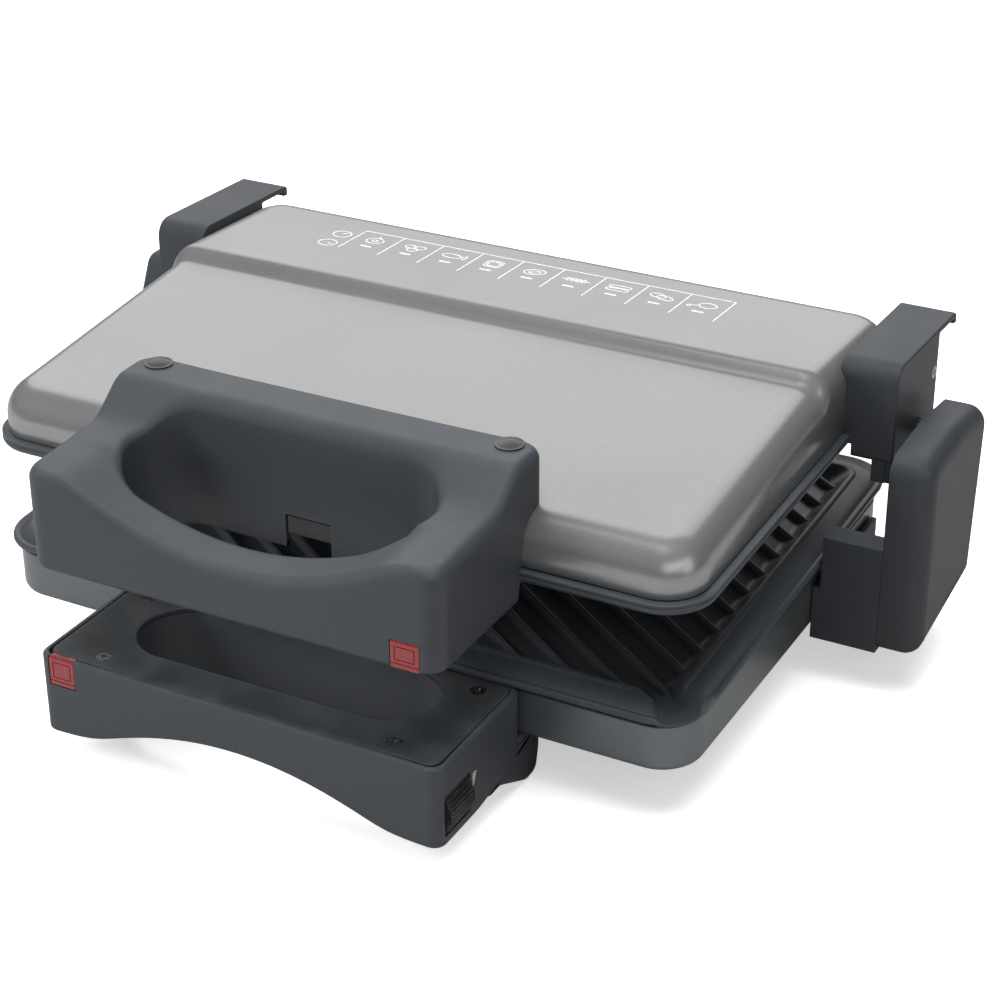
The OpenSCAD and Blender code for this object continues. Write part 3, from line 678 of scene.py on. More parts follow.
@dataclass(frozen=True)
class Finish:
    """A material: its record slot and colour. Subclasses say how its nodes are laid."""

    slot: str
    colour: Colour

    def material(self) -> bpy.types.Material:
        """The material, built the first time it is asked for."""
        name = f"{self.slot}_{type(self).__name__}"
        if name not in bpy.data.materials:
            made = bpy.data.materials.new(name)
            made.use_nodes = True
            self.dress(Net(made.node_tree), made.node_tree.nodes["Principled BSDF"].inputs)
        return bpy.data.materials[name]

    def dress(self, net: Net, to: object) -> None:
        """Lays the nodes, given the shader's inputs."""
        to["Base Color"].default_value = (*self.colour, 1.0)


@dataclass(frozen=True)
class Moulded(Finish):
    """Injection-moulded plastic: fine spark-eroded grain, mottled gloss and rubbed edges."""

    rough: float = 0.46
    rub: float = 0.35
    dust: float = 0.05
    scale: float = 1500.0
    depth: float = 0.00006
    gloss_spread: float = 0.03
    worn_gloss: float = 0.12
    dust_colour: Colour = (0.42, 0.41, 0.39)

    def dress(self, net: Net, to: object) -> None:
        """Grain in the bump; mottle in gloss and colour; paler where rubbed or dusty."""
        grain = net.group(Effect.grain(), Scale=self.scale, Cells=0.6).outputs
        wear = net.group(Effect.wear(), Amount=self.rub, Scale=120.0).outputs["Mask"]
        dust = net.group(Effect.dust(), Amount=self.dust, Scale=60.0).outputs["Mask"]
        pale = tuple(min(1.0, c * 2.1 + 0.03) for c in self.colour)
        base = net.tint(net.ramp(grain["Mottle"], 0.3, 0.7), self.colour, 0.95, 1.0)
        net.join(net.mix(dust, net.mix(wear, base, pale), self.dust_colour), to["Base Color"])
        rough = net.around(grain["Mottle"], 0.2, 0.8, self.rough, self.gloss_spread)
        worn = net.math("MULTIPLY", wear, self.worn_gloss)
        net.join(net.math("SUBTRACT", rough, worn), to["Roughness"])
        net.join(net.bump(grain["Height"], self.depth, 0.7), to["Normal"])


@dataclass(frozen=True)
class Paint(Finish):
    """Metallic paint on sheet: flake sparkle, faint orange peel and a clear coat."""

    metal: float = 0.75
    rough: float = 0.38
    coat: float = 0.3
    coat_rough: float = 0.12
    flake: float = 0.10
    flake_scale: float = 4200.0
    peel_scale: float = 420.0
    peel_depth: float = 0.00004
    gloss_spread: float = 0.035
    dust_colour: Colour = (0.6, 0.59, 0.57)

    def dress(self, net: Net, to: object) -> None:
        """Flakes vary the colour; slow noise varies gloss; finer noise lifts an orange peel."""
        to["Coat Roughness"].default_value = self.coat_rough
        to["Coat Weight"].default_value = self.coat
        to["Metallic"].default_value = self.metal
        split = net.node("ShaderNodeSeparateColor")
        net.join(net.cells(self.flake_scale).outputs["Color"], split.inputs[0])
        dust = net.group(Effect.dust(), Amount=0.05, Scale=35.0).outputs["Mask"]
        base = net.tint(split.outputs[0], self.colour, 1 - self.flake, 1 + self.flake)
        net.join(net.mix(dust, base, self.dust_colour), to["Base Color"])
        rough = net.around(net.noise(14.0), 0.3, 0.7, self.rough, self.gloss_spread)
        net.join(net.math("ADD", rough, net.math("MULTIPLY", dust, 0.6)), to["Roughness"])
        net.join(net.bump(net.noise(self.peel_scale), self.peel_depth, 0.35), to["Normal"])


@dataclass(frozen=True)
class NonStick(Finish):
    """Sprayed non-stick coating on a casting: speckled, softly glossy, faintly rough."""

    rough: float = 0.42
    speck_scale: float = 1400.0
    speck_depth: float = 0.00003
    worn_colour: Colour = (0.16, 0.165, 0.165)

    def dress(self, net: Net, to: object) -> None:
        """Fine spray speckle in colour and bump, slow swirls in gloss, thin on the edges."""
        speck = net.noise(self.speck_scale)
        wear = net.group(Effect.wear(), Amount=0.04, Scale=150.0).outputs["Mask"]
        base = net.tint(net.ramp(speck, 0.45, 0.75), self.colour, 1.0, 1.35)
        net.join(net.mix(wear, base, self.worn_colour), to["Base Color"])
        net.join(net.around(net.noise(30.0), 0.3, 0.7, self.rough, 0.02), to["Roughness"])
        net.join(net.bump(speck, self.speck_depth, 0.15), to["Normal"])


@dataclass(frozen=True)
class Steel(Finish):
    """Plated or rolled metal: fine brushed lines along one axis in the gloss, and a cloudy tint."""

    rough: float = 0.3
    lines: tuple[float, float, float] = (40.0, 900.0, 900.0)
    cloud_scale: float = 130.0
    line_depth: float = 0.00003

    def dress(self, net: Net, to: object) -> None:
        """Stretched noise makes the lines; slow noise clouds the plating."""
        to["Metallic"].default_value = 1.0
        stretch = net.node("ShaderNodeMapping")
        stretch.inputs["Scale"].default_value = self.lines
        net.join(net.where(), stretch.inputs["Vector"])
        brush = net.noise(2.0, where=stretch.outputs[0])
        cloud = net.ramp(net.noise(self.cloud_scale), 0.3, 0.7)
        net.join(net.tint(cloud, self.colour, 0.82, 1.0), to["Base Color"])
        net.join(net.ramp(brush, 0.3, 0.7, self.rough - 0.08, self.rough + 0.1), to["Roughness"])
        net.join(net.bump(brush, self.line_depth, 0.5), to["Normal"])


@dataclass(frozen=True)
class Blackened(Steel):
    """Spring steel with a dark oiled finish: the same brushed lines in a darker tint."""


@dataclass(frozen=True)
class Lens(Finish):
    """Clear red moulding with small prisms on its back, and a faint painted red glow."""

    prism_size: float = 1.3 * MM
    # Colours of the painted glow: emission standing in for light caught in the lens, though its bulb gives
    # no light
    painted_glow_low: Colour = (0.03, 0.003, 0.003)
    painted_glow_high: Colour = (0.06, 0.005, 0.005)

    def dress(self, net: Net, to: object) -> None:
        """Crossed waves give the prisms a darker grid, a faint painted red glow that is brighter inside each
        prism, and a rippled normal.
        """
        to["Coat Weight"].default_value = 1.0
        to["Coat Roughness"].default_value = 0.05
        # Emission here is painted light: a faint glow, not a lit lamp
        to["Emission Strength"].default_value = 1.0
        split = net.node("ShaderNodeSeparateXYZ")
        net.join(net.where(), split.inputs[0])
        waves = [net.math("PINGPONG", net.math("DIVIDE", split.outputs[axis], self.prism_size), 0.5)
                 for axis in ("X", "Z")]
        prisms = net.math("MINIMUM", *waves)
        net.join(net.tint(net.ramp(prisms, 0.03, 0.22), self.colour, 0.72, 1.0), to["Base Color"])
        # Painted glow: emission brighter inside each prism, standing in for light caught in the clear red
        # plastic
        glow = net.ramp(prisms, 0.05, 0.4)
        net.join(net.mix(glow, self.painted_glow_low, self.painted_glow_high), to["Emission Color"])
        net.join(net.ramp(prisms, 0.0, 0.5, 0.32, 0.16), to["Roughness"])
        net.join(net.bump(prisms, 0.0002, 0.25), to["Normal"])


@dataclass(frozen=True)
class Ceramic(Finish):
    """Dull pressed or moulded filler: ceramic, nylon or rubber with a fine pitted face."""

    rough: float = 0.6
    scale: float = 900.0
    pit_depth: float = 0.00008
    dust_colour: Colour = (0.4, 0.39, 0.37)

    def dress(self, net: Net, to: object) -> None:
        """Grain gives pits; mottle stains the colour; dust settles on top."""
        grain = net.group(Effect.grain(), Scale=self.scale, Cells=0.25).outputs
        dust = net.group(Effect.dust(), Amount=0.12, Scale=80.0).outputs["Mask"]
        base = net.tint(net.ramp(grain["Mottle"], 0.3, 0.7), self.colour, 0.85, 1.0)
        net.join(net.mix(dust, base, self.dust_colour), to["Base Color"])
        net.join(net.around(grain["Height"], 0.2, 0.8, self.rough, 0.07), to["Roughness"])
        net.join(net.bump(grain["Height"], self.pit_depth, 0.6), to["Normal"])


@dataclass(frozen=True)
class Ink(Finish):
    """Screen-printed white ink with a slightly broken edge and a faint tooth."""

    def dress(self, net: Net, to: object) -> None:
        """Noise thins the ink in places."""
        noise = net.noise(1800.0)
        net.join(net.tint(net.ramp(noise, 0.35, 0.6), self.colour, 0.86, 1.0), to["Base Color"])
        net.join(net.ramp(noise, 0.3, 0.7, 0.45, 0.6), to["Roughness"])


@dataclass(frozen=True)
class Glass(Finish):
    """Clear bulb glass with a faint smoky deposit."""

    def dress(self, net: Net, to: object) -> None:
        """Noise clouds the glass a little."""
        to["Transmission Weight"].default_value = 0.7
        noise = net.noise(300.0)
        net.join(net.tint(net.ramp(noise, 0.4, 0.7), self.colour, 1.0, 0.6), to["Base Color"])
        net.join(net.ramp(noise, 0.3, 0.7, 0.05, 0.2), to["Roughness"])


LID_PAINT = Paint("lid_paint", (0.36, 0.365, 0.36), metal=0.8, rough=0.3, coat=0.2)
PAN_PAINT = Paint("pan_paint", (0.18, 0.197, 0.21), metal=0.8, rough=0.3, coat=0.25)
COATING = NonStick("non_stick", (0.040, 0.045, 0.051), rough=0.3)
HANDLE = Moulded("handle_plastic", (0.042, 0.047, 0.054), rub=0.12, dust=0.02)
HANDLE_COVER = Moulded("cover_plastic", (0.030, 0.034, 0.038), rough=0.5)
HINGE = Moulded("hinge_plastic", (0.031, 0.035, 0.041), rough=0.46, rub=0.0, dust=0.02)
CAP = Moulded("cap_plastic", (0.030, 0.032, 0.034), rough=0.28, rub=0.2)
DIAL = Moulded("dial_plastic", (0.010, 0.010, 0.011), rough=0.42, rub=0.8, dust=0.1)
RED = Lens("lamp_red", (0.22, 0.010, 0.013))
BULB = Glass("bulb_glass", (0.95, 0.6, 0.35))
SCREW = Steel("screw_steel", (0.50, 0.51, 0.52), rough=0.32, lines=(500.0, 500.0, 60.0))
HINGE_STEEL = Steel("hinge_steel", (0.60, 0.61, 0.62), rough=0.3)
CLIP_STEEL = Blackened("hinge_steel", (0.12, 0.12, 0.125), rough=0.4)
SHIELD = Steel("shield_sheet", (0.80, 0.80, 0.81), rough=0.2)
SHEATH = Steel("heater_sheath", (0.16, 0.15, 0.14), rough=0.45)
COPPER = Steel("sensor_copper", (0.65, 0.33, 0.2), rough=0.25)
NYLON = Ceramic("slider_nylon", (0.68, 0.66, 0.60), rough=0.5)
CERAMIC = Ceramic("thermostat_ceramic", (0.62, 0.57, 0.47), rough=0.7)
RUBBER = Ceramic("foot_rubber", (0.018, 0.018, 0.018), rough=0.75)
INK = Ink("lid_paint", (0.9, 0.9, 0.9))


# ---------------------------------------------------------------- finishing helpers


def shade(data: bpy.types.Mesh, sharp: float) -> None:
    """Shades a mesh smooth, but for edges sharper than an angle in degrees."""
    data.shade_smooth()
    data.set_sharp_from_angle(angle=math.radians(sharp))


def linked(name: str, data: bpy.types.ID) -> bpy.types.Object:
    """A new object in the scene, that holds a mesh, camera or light."""
    made = bpy.data.objects.new(name, data)
    bpy.context.scene.collection.objects.link(made)
    return made


def mount(piece: bpy.types.Object, body: Body, finish: Finish, *nodes: str) -> bpy.types.Object:
    """Gives a piece its finish, and lets it ride on a body and stand for CAD nodes.

    Args:
        piece: the piece.
        body: the body it moves with.
        finish: its material.
        nodes: CAD nodes that it stands for.

    Returns:
        The piece.
    """
    piece.data.materials.clear()
    piece.data.materials.append(finish.material())
    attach(piece, body.value)
    if nodes:
        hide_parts(*nodes)
    LOG.info("%s: %d points on %s", piece.name, len(piece.data.vertices), body.value)
    return piece


def dress(finish: Finish, *nodes: str) -> None:
    """Gives CAD nodes a finish through their objects' material slots."""
    for name in nodes:
        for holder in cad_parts[name].material_slots:
            holder.material = finish.material()
        LOG.info("%s: dressed as %s", name, finish.slot)


def carve(piece: bpy.types.Object, cutter: Mesh, sharp: float = 40.0) -> bpy.types.Object:
    """Cuts closed forms out of a piece and shades it again.

    Args:
        piece: the piece.
        cutter: the forms, as one mesh.
        sharp: angle in degrees past which an edge is not shaded smooth.

    Returns:
        The piece.
    """
    tool = linked("cutter", cutter.data("cutter"))
    cut = piece.modifiers.new("cut", "BOOLEAN")
    cut.operation, cut.solver, cut.object, cut.use_self = "DIFFERENCE", "EXACT", tool, True
    bpy.context.view_layer.update()
    graph = bpy.context.evaluated_depsgraph_get()
    result = bpy.data.meshes.new_from_object(piece.evaluated_get(graph))
    piece.modifiers.clear()
    piece.data = result
    bpy.data.objects.remove(tool)
    shade(result, sharp)
    return piece


def block(mesh: Mesh, low: Sequence[float], high: Sequence[float]) -> Mesh:
    """Adds a box between two corners."""
    a, b = np.array(low, float), np.array(high, float)
    square = np.array([[a[1], a[2]], [b[1], a[2]], [b[1], b[2]], [a[1], b[2]]])
    return prism(mesh, square, a[0], b[0], 0, 0, steps=2)


def rod(mesh: Mesh, centre: Sequence[float], radius: float, length: float, axis: str) -> Mesh:
    """Adds a plain rod from a centre along an axis."""
    return lathe(mesh, [(0, 0), (radius, 0), (radius, length), (0, length)], centre, axis)


def eased(name: str, body: Body, finish: Finish, node: str, width: float) -> bpy.types.Object:
    """A copy of a CAD node with merged points, whole faces and rounded edges.

    Args:
        name: name of the piece.
        body: the body it moves with.
        finish: its material.
        node: the CAD node that it stands for.
        width: width of the rounding in millimetres.

    Returns:
        The new object.
    """
    sharp = 30.0
    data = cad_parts[node].data.copy()
    work = bmesh.new()
    work.from_mesh(data)
    bmesh.ops.remove_doubles(work, verts=work.verts, dist=1e-6)
    bmesh.ops.dissolve_limit(work, angle_limit=math.radians(0.5), verts=work.verts, edges=work.edges)
    work.to_mesh(data)
    work.free()
    shade(data, sharp)
    piece = linked(name, data)
    ease = piece.modifiers.new("ease", "BEVEL")
    ease.width, ease.segments, ease.harden_normals = width * MM, 2, True
    ease.limit_method, ease.angle_limit = "ANGLE", math.radians(sharp)
    return mount(piece, body, finish, node)


# ---------------------------------------------------------------- sub-assemblies


@dataclass
class LowerPan:
    """Painted sheet pan: straight sides, folded bottom edge, open top with a turned rim."""

    half_width: float = 160.0
    half_depth: float = 109.0
    corner: float = 18.0
    front_height: float = 20.5
    slope: float = 0.03
    fold: float = 3.5
    sheet: float = 1.2

    def rim(self, x: Array, y: Array) -> Array:
        """Height of the rim: a straight rise towards the rear."""
        return self.front_height + self.slope * y

    def build(self) -> None:
        """Inner floor, inner fold and wall, turned rim, outer wall and outer fold."""
        plan = Plan(self.half_width, self.half_depth, self.corner, cy=self.half_depth, corner=14)
        floor = flat(self.sheet)
        inside = [(out - self.sheet, h) for out, h in fold(self.fold - self.sheet, floor, down=False)]
        rim = [(-self.sheet, shifted(self.rim, -0.4)), (-self.sheet * 0.7, self.rim),
               (-self.sheet * 0.3, self.rim), (0.0, shifted(self.rim, -0.4))]
        outside = fold(self.fold, flat(0.0), down=False)[::-1]
        mesh = plan.slab(Mesh(), inside + rim + outside)
        mesh.piece("pan_tray", Body.BASE, PAN_PAINT, "lower_pan")


@dataclass(frozen=True)
class Spout:
    """Pouring channel across a plate's corner, with a lip that curls up on one side of it.

    Lengths run along the corner's diagonal from the corner's edge, or to its right.
    """

    half: float = 4.5
    flare: float = 0.22
    flare_from: float = 20.0
    flare_run: float = 22.0
    start: float = 25.0
    ramp: float = 6.0
    blend: float = 4.4
    bed: float = 0.3
    bed_slope: float = 0.09
    under: float = 0.8
    curl: float = 2.4
    curl_from: float = 12.0
    curl_ramp: float = 8.0
    near: float = 4.0
    near_ramp: float = 5.0
    far: float = 26.0
    far_ramp: float = 14.0

    def sink(self, local: float, out: float, along: Array, side: Array) -> Array:
        """A local height near the spout: curled up beside the channel, then sunk to its bed.

        Args:
            local: height above the rim's underside.
            out: distance out of the outline, which sets the bed's height.
            along: distance outwards along the diagonal.
            side: distance to the right of the diagonal.

        Returns:
            The new local height.
        """
        half = self.half + self.flare * np.clip(along + self.flare_from, 0.0, self.flare_run)
        dip = step((along + self.start) / self.ramp)
        dip = dip * step((half + self.blend / 2 - np.abs(side)) / self.blend)
        if local <= 0.1:
            return local - self.under * dip
        curl = self.curl * step((along + self.curl_from) / self.curl_ramp)
        curl = curl * step((side - self.near) / self.near_ramp)
        curl = curl * step((self.far - side) / self.far_ramp)
        lifted = local + (curl if local > 1.0 else 0.0)
        return lifted + dip * (self.bed + self.bed_slope * out - lifted)


@dataclass
class GrillPlate:
    """Cast plate: stepped rim with a raised ridge, sloping well wall, ribbed floor and a spout."""

    name: str
    node: str
    body: Body
    start: float
    fall: float
    face: int
    spout: Spout | None
    first_rib: float
    half_width: float = 163.0
    half_depth: float = 112.0
    corner: float = 21.0
    middle: float = 109.0
    floor: float = -1.5
    thick: float = 3.5
    rib_step: float = 15.87
    rib_lean: float = 0.7
    rib_high: float = 3.5
    rib_wide: tuple[float, ...] = (-1.7, -1.35, -1.0, -0.5, 0.0, 0.5, 1.0, 1.35, 1.7)
    rib_tall: tuple[float, ...] = (-0.15, 0.5, 0.825, 0.9625, 1.0, 0.9625, 0.825, 0.5, -0.15)
    rib_inset: float = 18.0
    rib_corner: float = 8.0
    rib_piece: float = 12.0

    def level(self, local: float, out: float = 0.0) -> Height:
        """A height on the tilted plate.

        It is start + (y + 3) tan(fall) + face times the local height, which the spout changes.

        Args:
            local: height above the rim's underside.
            out: distance out of the outline, which sets the channel's height.

        Returns:
            The height function.
        """
        tilt = math.tan(math.radians(self.fall))
        cx, cy = self.half_width - self.corner, self.corner + self.middle - self.half_depth

        def height(x: Array, y: Array) -> Array:
            """The tilted height, with the spout in the corner whose centre is (cx, cy)."""
            sunk = local
            if self.spout:
                along = ((x - cx) - (y - cy)) / math.sqrt(2) - self.corner
                side = ((x - cx) + (y - cy)) / math.sqrt(2)
                sunk = self.spout.sink(local, out, along, side)
            return self.start + (y + 3.0) * tilt + self.face * sunk

        return height

    def rim(self) -> list[tuple[float, float]]:
        """Rim from the floor out to the underside, as (distance out, local height)."""
        ridge = [(-24.0, self.floor), (-22.6, -1.35), (-21.2, -0.9), (-15.4, 3.9), (-14.6, 4.6),
                 (-13.9, 4.93), (-13.2, 5.0), (-12.6, 4.92), (-12.1, 4.6), (-11.8, 4.35), (-11.3, 4.25)]
        if self.spout:
            lip = [(-10.0, 4.2), (-3.6, 2.7), (-3.1, 2.35), (-2.7, 2.2), (-2.3, 2.35), (-1.7, 2.6),
                   (-0.9, 2.6), (-0.4, 2.35), (-0.1, 1.9), (0.0, 1.4), (0.0, 0.5), (-0.3, 0.0)]
        else:
            lip = [(-10.0, 4.3), (-3.2, 4.6), (-2.0, 4.9), (-1.3, 4.6), (-0.6, 4.1), (-0.15, 3.4),
                   (0.0, 2.7), (-0.1, 1.9), (-0.5, 1.5), (-0.5, 1.2), (-0.1, 0.9), (-0.1, 0.2),
                   (-0.4, 0.0)]
        under = [(-10.5, 0.0), (-11.0, -0.5), (-11.5, self.floor - self.thick)]
        return ridge + lip + under

    def ribs(self, mesh: Mesh) -> None:
        """Adds the ribs: a rounded section carried along each line y + lean x = constant."""
        wide, tall = np.array(self.rib_wide), np.array(self.rib_tall) * self.rib_high
        along = np.array([1.0, -self.rib_lean]) / math.hypot(1.0, self.rib_lean)
        beside = np.array([-along[1], along[0]])
        plan = Plan(self.half_width - self.rib_inset, self.half_depth - self.rib_inset, self.rib_corner,
                    cy=self.middle)
        t = np.linspace(-260, 260, 2081)
        tilt = self.level(0.0)
        for c in np.arange(self.first_rib - 40 * self.rib_step, 500, self.rib_step):
            line = np.array([0.0, c]) + t[:, None] * along
            kx, ky = plan.core(line[:, 0], line[:, 1])
            inside = np.hypot(line[:, 0] - kx, line[:, 1] - ky) < plan.r
            if inside.sum() < 30:
                continue
            first, last = t[inside][[0, -1]]
            run = np.linspace(first, last, max(2, int((last - first) / self.rib_piece)))
            at = np.array([0.0, c]) + run[:, None] * along
            xy = at[:, None] + wide[None, :, None] * beside
            local = self.floor + np.broadcast_to(tall, xy.shape[:2])
            z = tilt(xy[..., 0], xy[..., 1]) + self.face * local
            strip = np.concatenate([xy, z[..., None]], -1)
            mesh.grid(strip, wrap_u=True)
            count = len(wide)
            mesh.add(strip[0], [list(range(count))])
            mesh.add(strip[-1], [list(range(count))[::-1]])

    def build(self) -> None:
        """The rim and floor as one slab, then the ribs."""
        plan = Plan(self.half_width, self.half_depth, self.corner, cy=self.middle,
                    corner=36 if self.spout else 16)
        mesh = plan.slab(Mesh(), [(out, self.level(local, out)) for out, local in self.rim()])
        self.ribs(mesh)
        mesh.piece(self.name, self.body, COATING, self.node, sharp=50)


@dataclass
class LidShell:
    """Painted lid: sloping deck, a small step up to the rear panel, and a fold all round."""

    half_width: float = 160.0
    half_depth: float = 109.0
    corner: float = 18.0
    deck: float = 94.6
    deck_slope: float = 0.1
    panel: float = 119.4
    panel_slope: float = -0.043
    step_from: float = 130.0
    step_deep: float = 8.5
    base: float = 75.6
    base_slope: float = math.tan(math.radians(1.8))
    fold: float = 13.0

    def top(self, x: Array, y: Array) -> Array:
        """Deck height blended into the panel's by a smooth step."""
        deck = self.deck + self.deck_slope * y
        panel = self.panel + self.panel_slope * y
        return deck + (panel - deck) * step((y - self.step_from) / self.step_deep)

    def low(self, x: Array, y: Array) -> Array:
        """Height of the lid's lower edge."""
        return self.base + self.base_slope * y

    def build(self) -> None:
        """Top grid, fold, side wall, turned lower edge and a closed underside."""
        plan = Plan(self.half_width, self.half_depth, self.corner, cy=self.half_depth, corner=18,
                    across=48, deep=96)
        rings = fold(self.fold, self.top, steps=12)
        rings += [(0.0, shifted(self.low, 0.5)), (-0.4, self.low), (-1.2, self.low),
                  (-1.4, shifted(self.low, 1.0))]
        plan.slab(Mesh(), rings).piece("lid_skin", Body.LID, LID_PAINT, "upper_shell", sharp=50)


SCREW_DEEP = 1.4
SCREW_PLACES = ((66.3, -55.7), (76.8, -9.6))


def screw_holes(mesh: Mesh, low: float) -> Mesh:
    """Adds the round recesses of the four cover screws, from a height up."""
    for s in (-1, 1):
        for x, y in SCREW_PLACES:
            rod(mesh, (s * x, y, low), 3.3, SCREW_DEEP + 1.0, "z")
    return mesh


@dataclass
class LowerGrip:
    """Lower loop handle: arched underside, tray for its cover plate, foot bosses and pockets."""

    half_width: float = 91.0
    reach: float = 66.0
    top: float = 22.4
    bottom: float = -13.5
    arch_top: float = 2.3
    arch_rate: float = 0.0036
    arch_from: float = -45.0
    arch_fade: float = 22.0
    arch_blend: float = 4.5
    hole_half: float = 47.0
    hole_r: float = 20.0
    hole_y: float = -26.0
    cover: float = 2.0
    dial: tuple[float, float, float] = (82.5, 0.0, 12.3)
    dial_span: tuple[float, float] = (-61.6, -42.4)
    boss: tuple[tuple[float, float, float], ...] = (
        (-26, -13.5, 1), (-17, -13.5, 8), (5, -24.0, 9), (13.5, -23.6, 5), (16, -12.6, 6),
        (16, -0.3, 1), (-26, -0.3, 1))
    boss_in: float = 67.0
    inset: float = 2.8

    def low(self, x: Array, y: Array) -> Array:
        """Underside: a shallow arch, arch_top less a rate times x squared, above the flat feet.

        The arch sinks to the feet's level behind the front bar, by a smooth step.
        """
        arch = self.arch_top - self.arch_rate * x * x
        arch = arch + (self.bottom - arch) * step((y - self.arch_from) / self.arch_fade)
        return -soft_min(-arch, np.full(np.shape(x), -self.bottom), self.arch_blend)

    def build(self) -> None:
        """Body, cover plate, bosses, and the pockets for the wheel and the lamp."""
        half = self.reach / 2
        ring = Ring(Plan(self.half_width, half, 3.0, cy=-half, corner=6), self.hole_half, self.hole_r,
                    self.hole_y)
        section = bar_section(1.0, 1.2, 1.5, 1.5, top_drop=self.cover + 0.3, lip=2.5)
        grip = ring.build(Mesh(), section, self.low, flat(self.top)).piece(
            "lower_grip", Body.BASE, HANDLE, "lower_handle")
        pockets = rod(Mesh(), (self.dial[0], self.dial_span[0], self.dial[1]), self.dial[2],
                      self.dial_span[1] - self.dial_span[0], "y")
        carve(grip, LOWER_LAMP.pocket(pockets))
        plan = Plan(self.half_width - self.inset, half - self.inset / 2 - 0.15, 2.0,
                    cy=-half + self.inset / 2 - 0.15, corner=5)
        cover = Ring(plan, self.hole_half, self.hole_r + 0.1, self.hole_y).build(
            Mesh(), bar_section(0.5, 0.5, 0.2, 0.2), flat(self.top - self.cover), flat(self.top)).piece(
            "lower_grip_cover", Body.BASE, HANDLE_COVER, "lower_handle_cover")
        cuts = screw_holes(Mesh(), self.top - SCREW_DEEP)
        block(cuts, (-10.4, -7.0, self.top - 3.0), (10.4, 1.0, self.top + 1.0))
        carve(cover, LOWER_LAMP.pocket(cuts))
        bosses = Mesh()
        for s in (-1, 1):
            x = sorted((s * self.boss_in, s * (self.half_width - 0.2)))
            prism(bosses, soft_outline(self.boss, 7), x[0], x[1], 2.0, 2.0)
        bosses.piece("lower_grip_feet", Body.BASE, HANDLE)


@dataclass
class UpperGrip:
    """Upper loop handle: scooped front bar, arms that sweep up, and a flange over the deck."""

    lid: LidShell
    half_width: float = 91.0
    front: float = -65.0
    back: float = 20.0
    bottom: float = 61.5
    behind: float = -3.2
    hole_half: float = 47.0
    hole_r: float = 20.0
    hole_y: float = -26.0
    scoop: float = 82.8
    scoop_rate: float = 0.0041
    scoop_rise: float = 0.095
    cover: float = 2.0
    arm: tuple[tuple[float, float, float], ...] = (
        (40, 119, 0), (-2, 119, 9), (-18, 106.5, 16), (-80, 103.2, 0), (-80, 60, 0), (40, 60, 0))
    seat: float = 77.0
    notch: tuple[tuple[float, float, float], ...] = ((-10.4, -6.4, 60.5), (10.4, 1.0, 76.2))

    def high(self, x: Array, y: Array) -> Array:
        """Upper side: the arms' side profile or, where lower, the scoop, which fades out behind.

        The scoop is scoop + rate x squared + rise (y - front), lifted by a smooth step from
        y = -40 to -14.
        """
        arm = soft_outline(self.arm, 15)
        arm = arm[arm[:, 1] > 100]
        arm = arm[np.argsort(arm[:, 0])]
        sweep = np.interp(y, arm[:, 0], arm[:, 1])
        scoop = (self.scoop + self.scoop_rate * x * x + self.scoop_rise * (y - self.front)
                 + 45.0 * step((y + 40.0) / 26.0))
        return soft_min(sweep, scoop, 3.0)

    def low(self, x: Array, y: Array) -> Array:
        """Underside: flat in front of the lid, then just under the lid's fold and deck."""
        run = np.clip(self.lid.fold - y, 0, self.lid.fold)
        skin = self.lid.top(x, y) - self.lid.fold + np.sqrt(self.lid.fold ** 2 - run ** 2) - 1.0
        rear = np.where(y < 0, self.seat, np.maximum(skin, self.seat))
        return np.where(y < self.behind, self.bottom, rear)

    def build(self) -> None:
        """Body with the lamp's pocket, and the cover plate under it."""
        half = (self.back - self.front) / 2
        ring = Ring(Plan(self.half_width, half, 8.0, cy=self.front + half, corner=9), self.hole_half,
                    self.hole_r, self.hole_y)
        section = bar_section(4.0, 5.0, 1.0, 2.0, steps=8, flats=16)
        grip = ring.build(Mesh(), section, self.low, self.high, around=40, cut=self.behind).piece(
            "upper_grip", Body.LID, HANDLE, "upper_handle")
        carve(grip, UPPER_LAMP.pocket(block(Mesh(), *self.notch)))
        plan = Plan(self.half_width - 2.8, 30.4, 4.0, cy=-34.0, corner=5)
        cover = Ring(plan, self.hole_half, self.hole_r + 0.1, self.hole_y).build(
            Mesh(), bar_section(0.2, 0.2, 0.5, 0.5), flat(self.bottom - 0.01),
            flat(self.bottom + self.cover)).piece(
            "upper_grip_cover", Body.LID, HANDLE_COVER, "upper_handle_cover")
        cuts = screw_holes(block(Mesh(), *self.notch), self.bottom - 1.0)
        carve(cover, UPPER_LAMP.pocket(cuts))


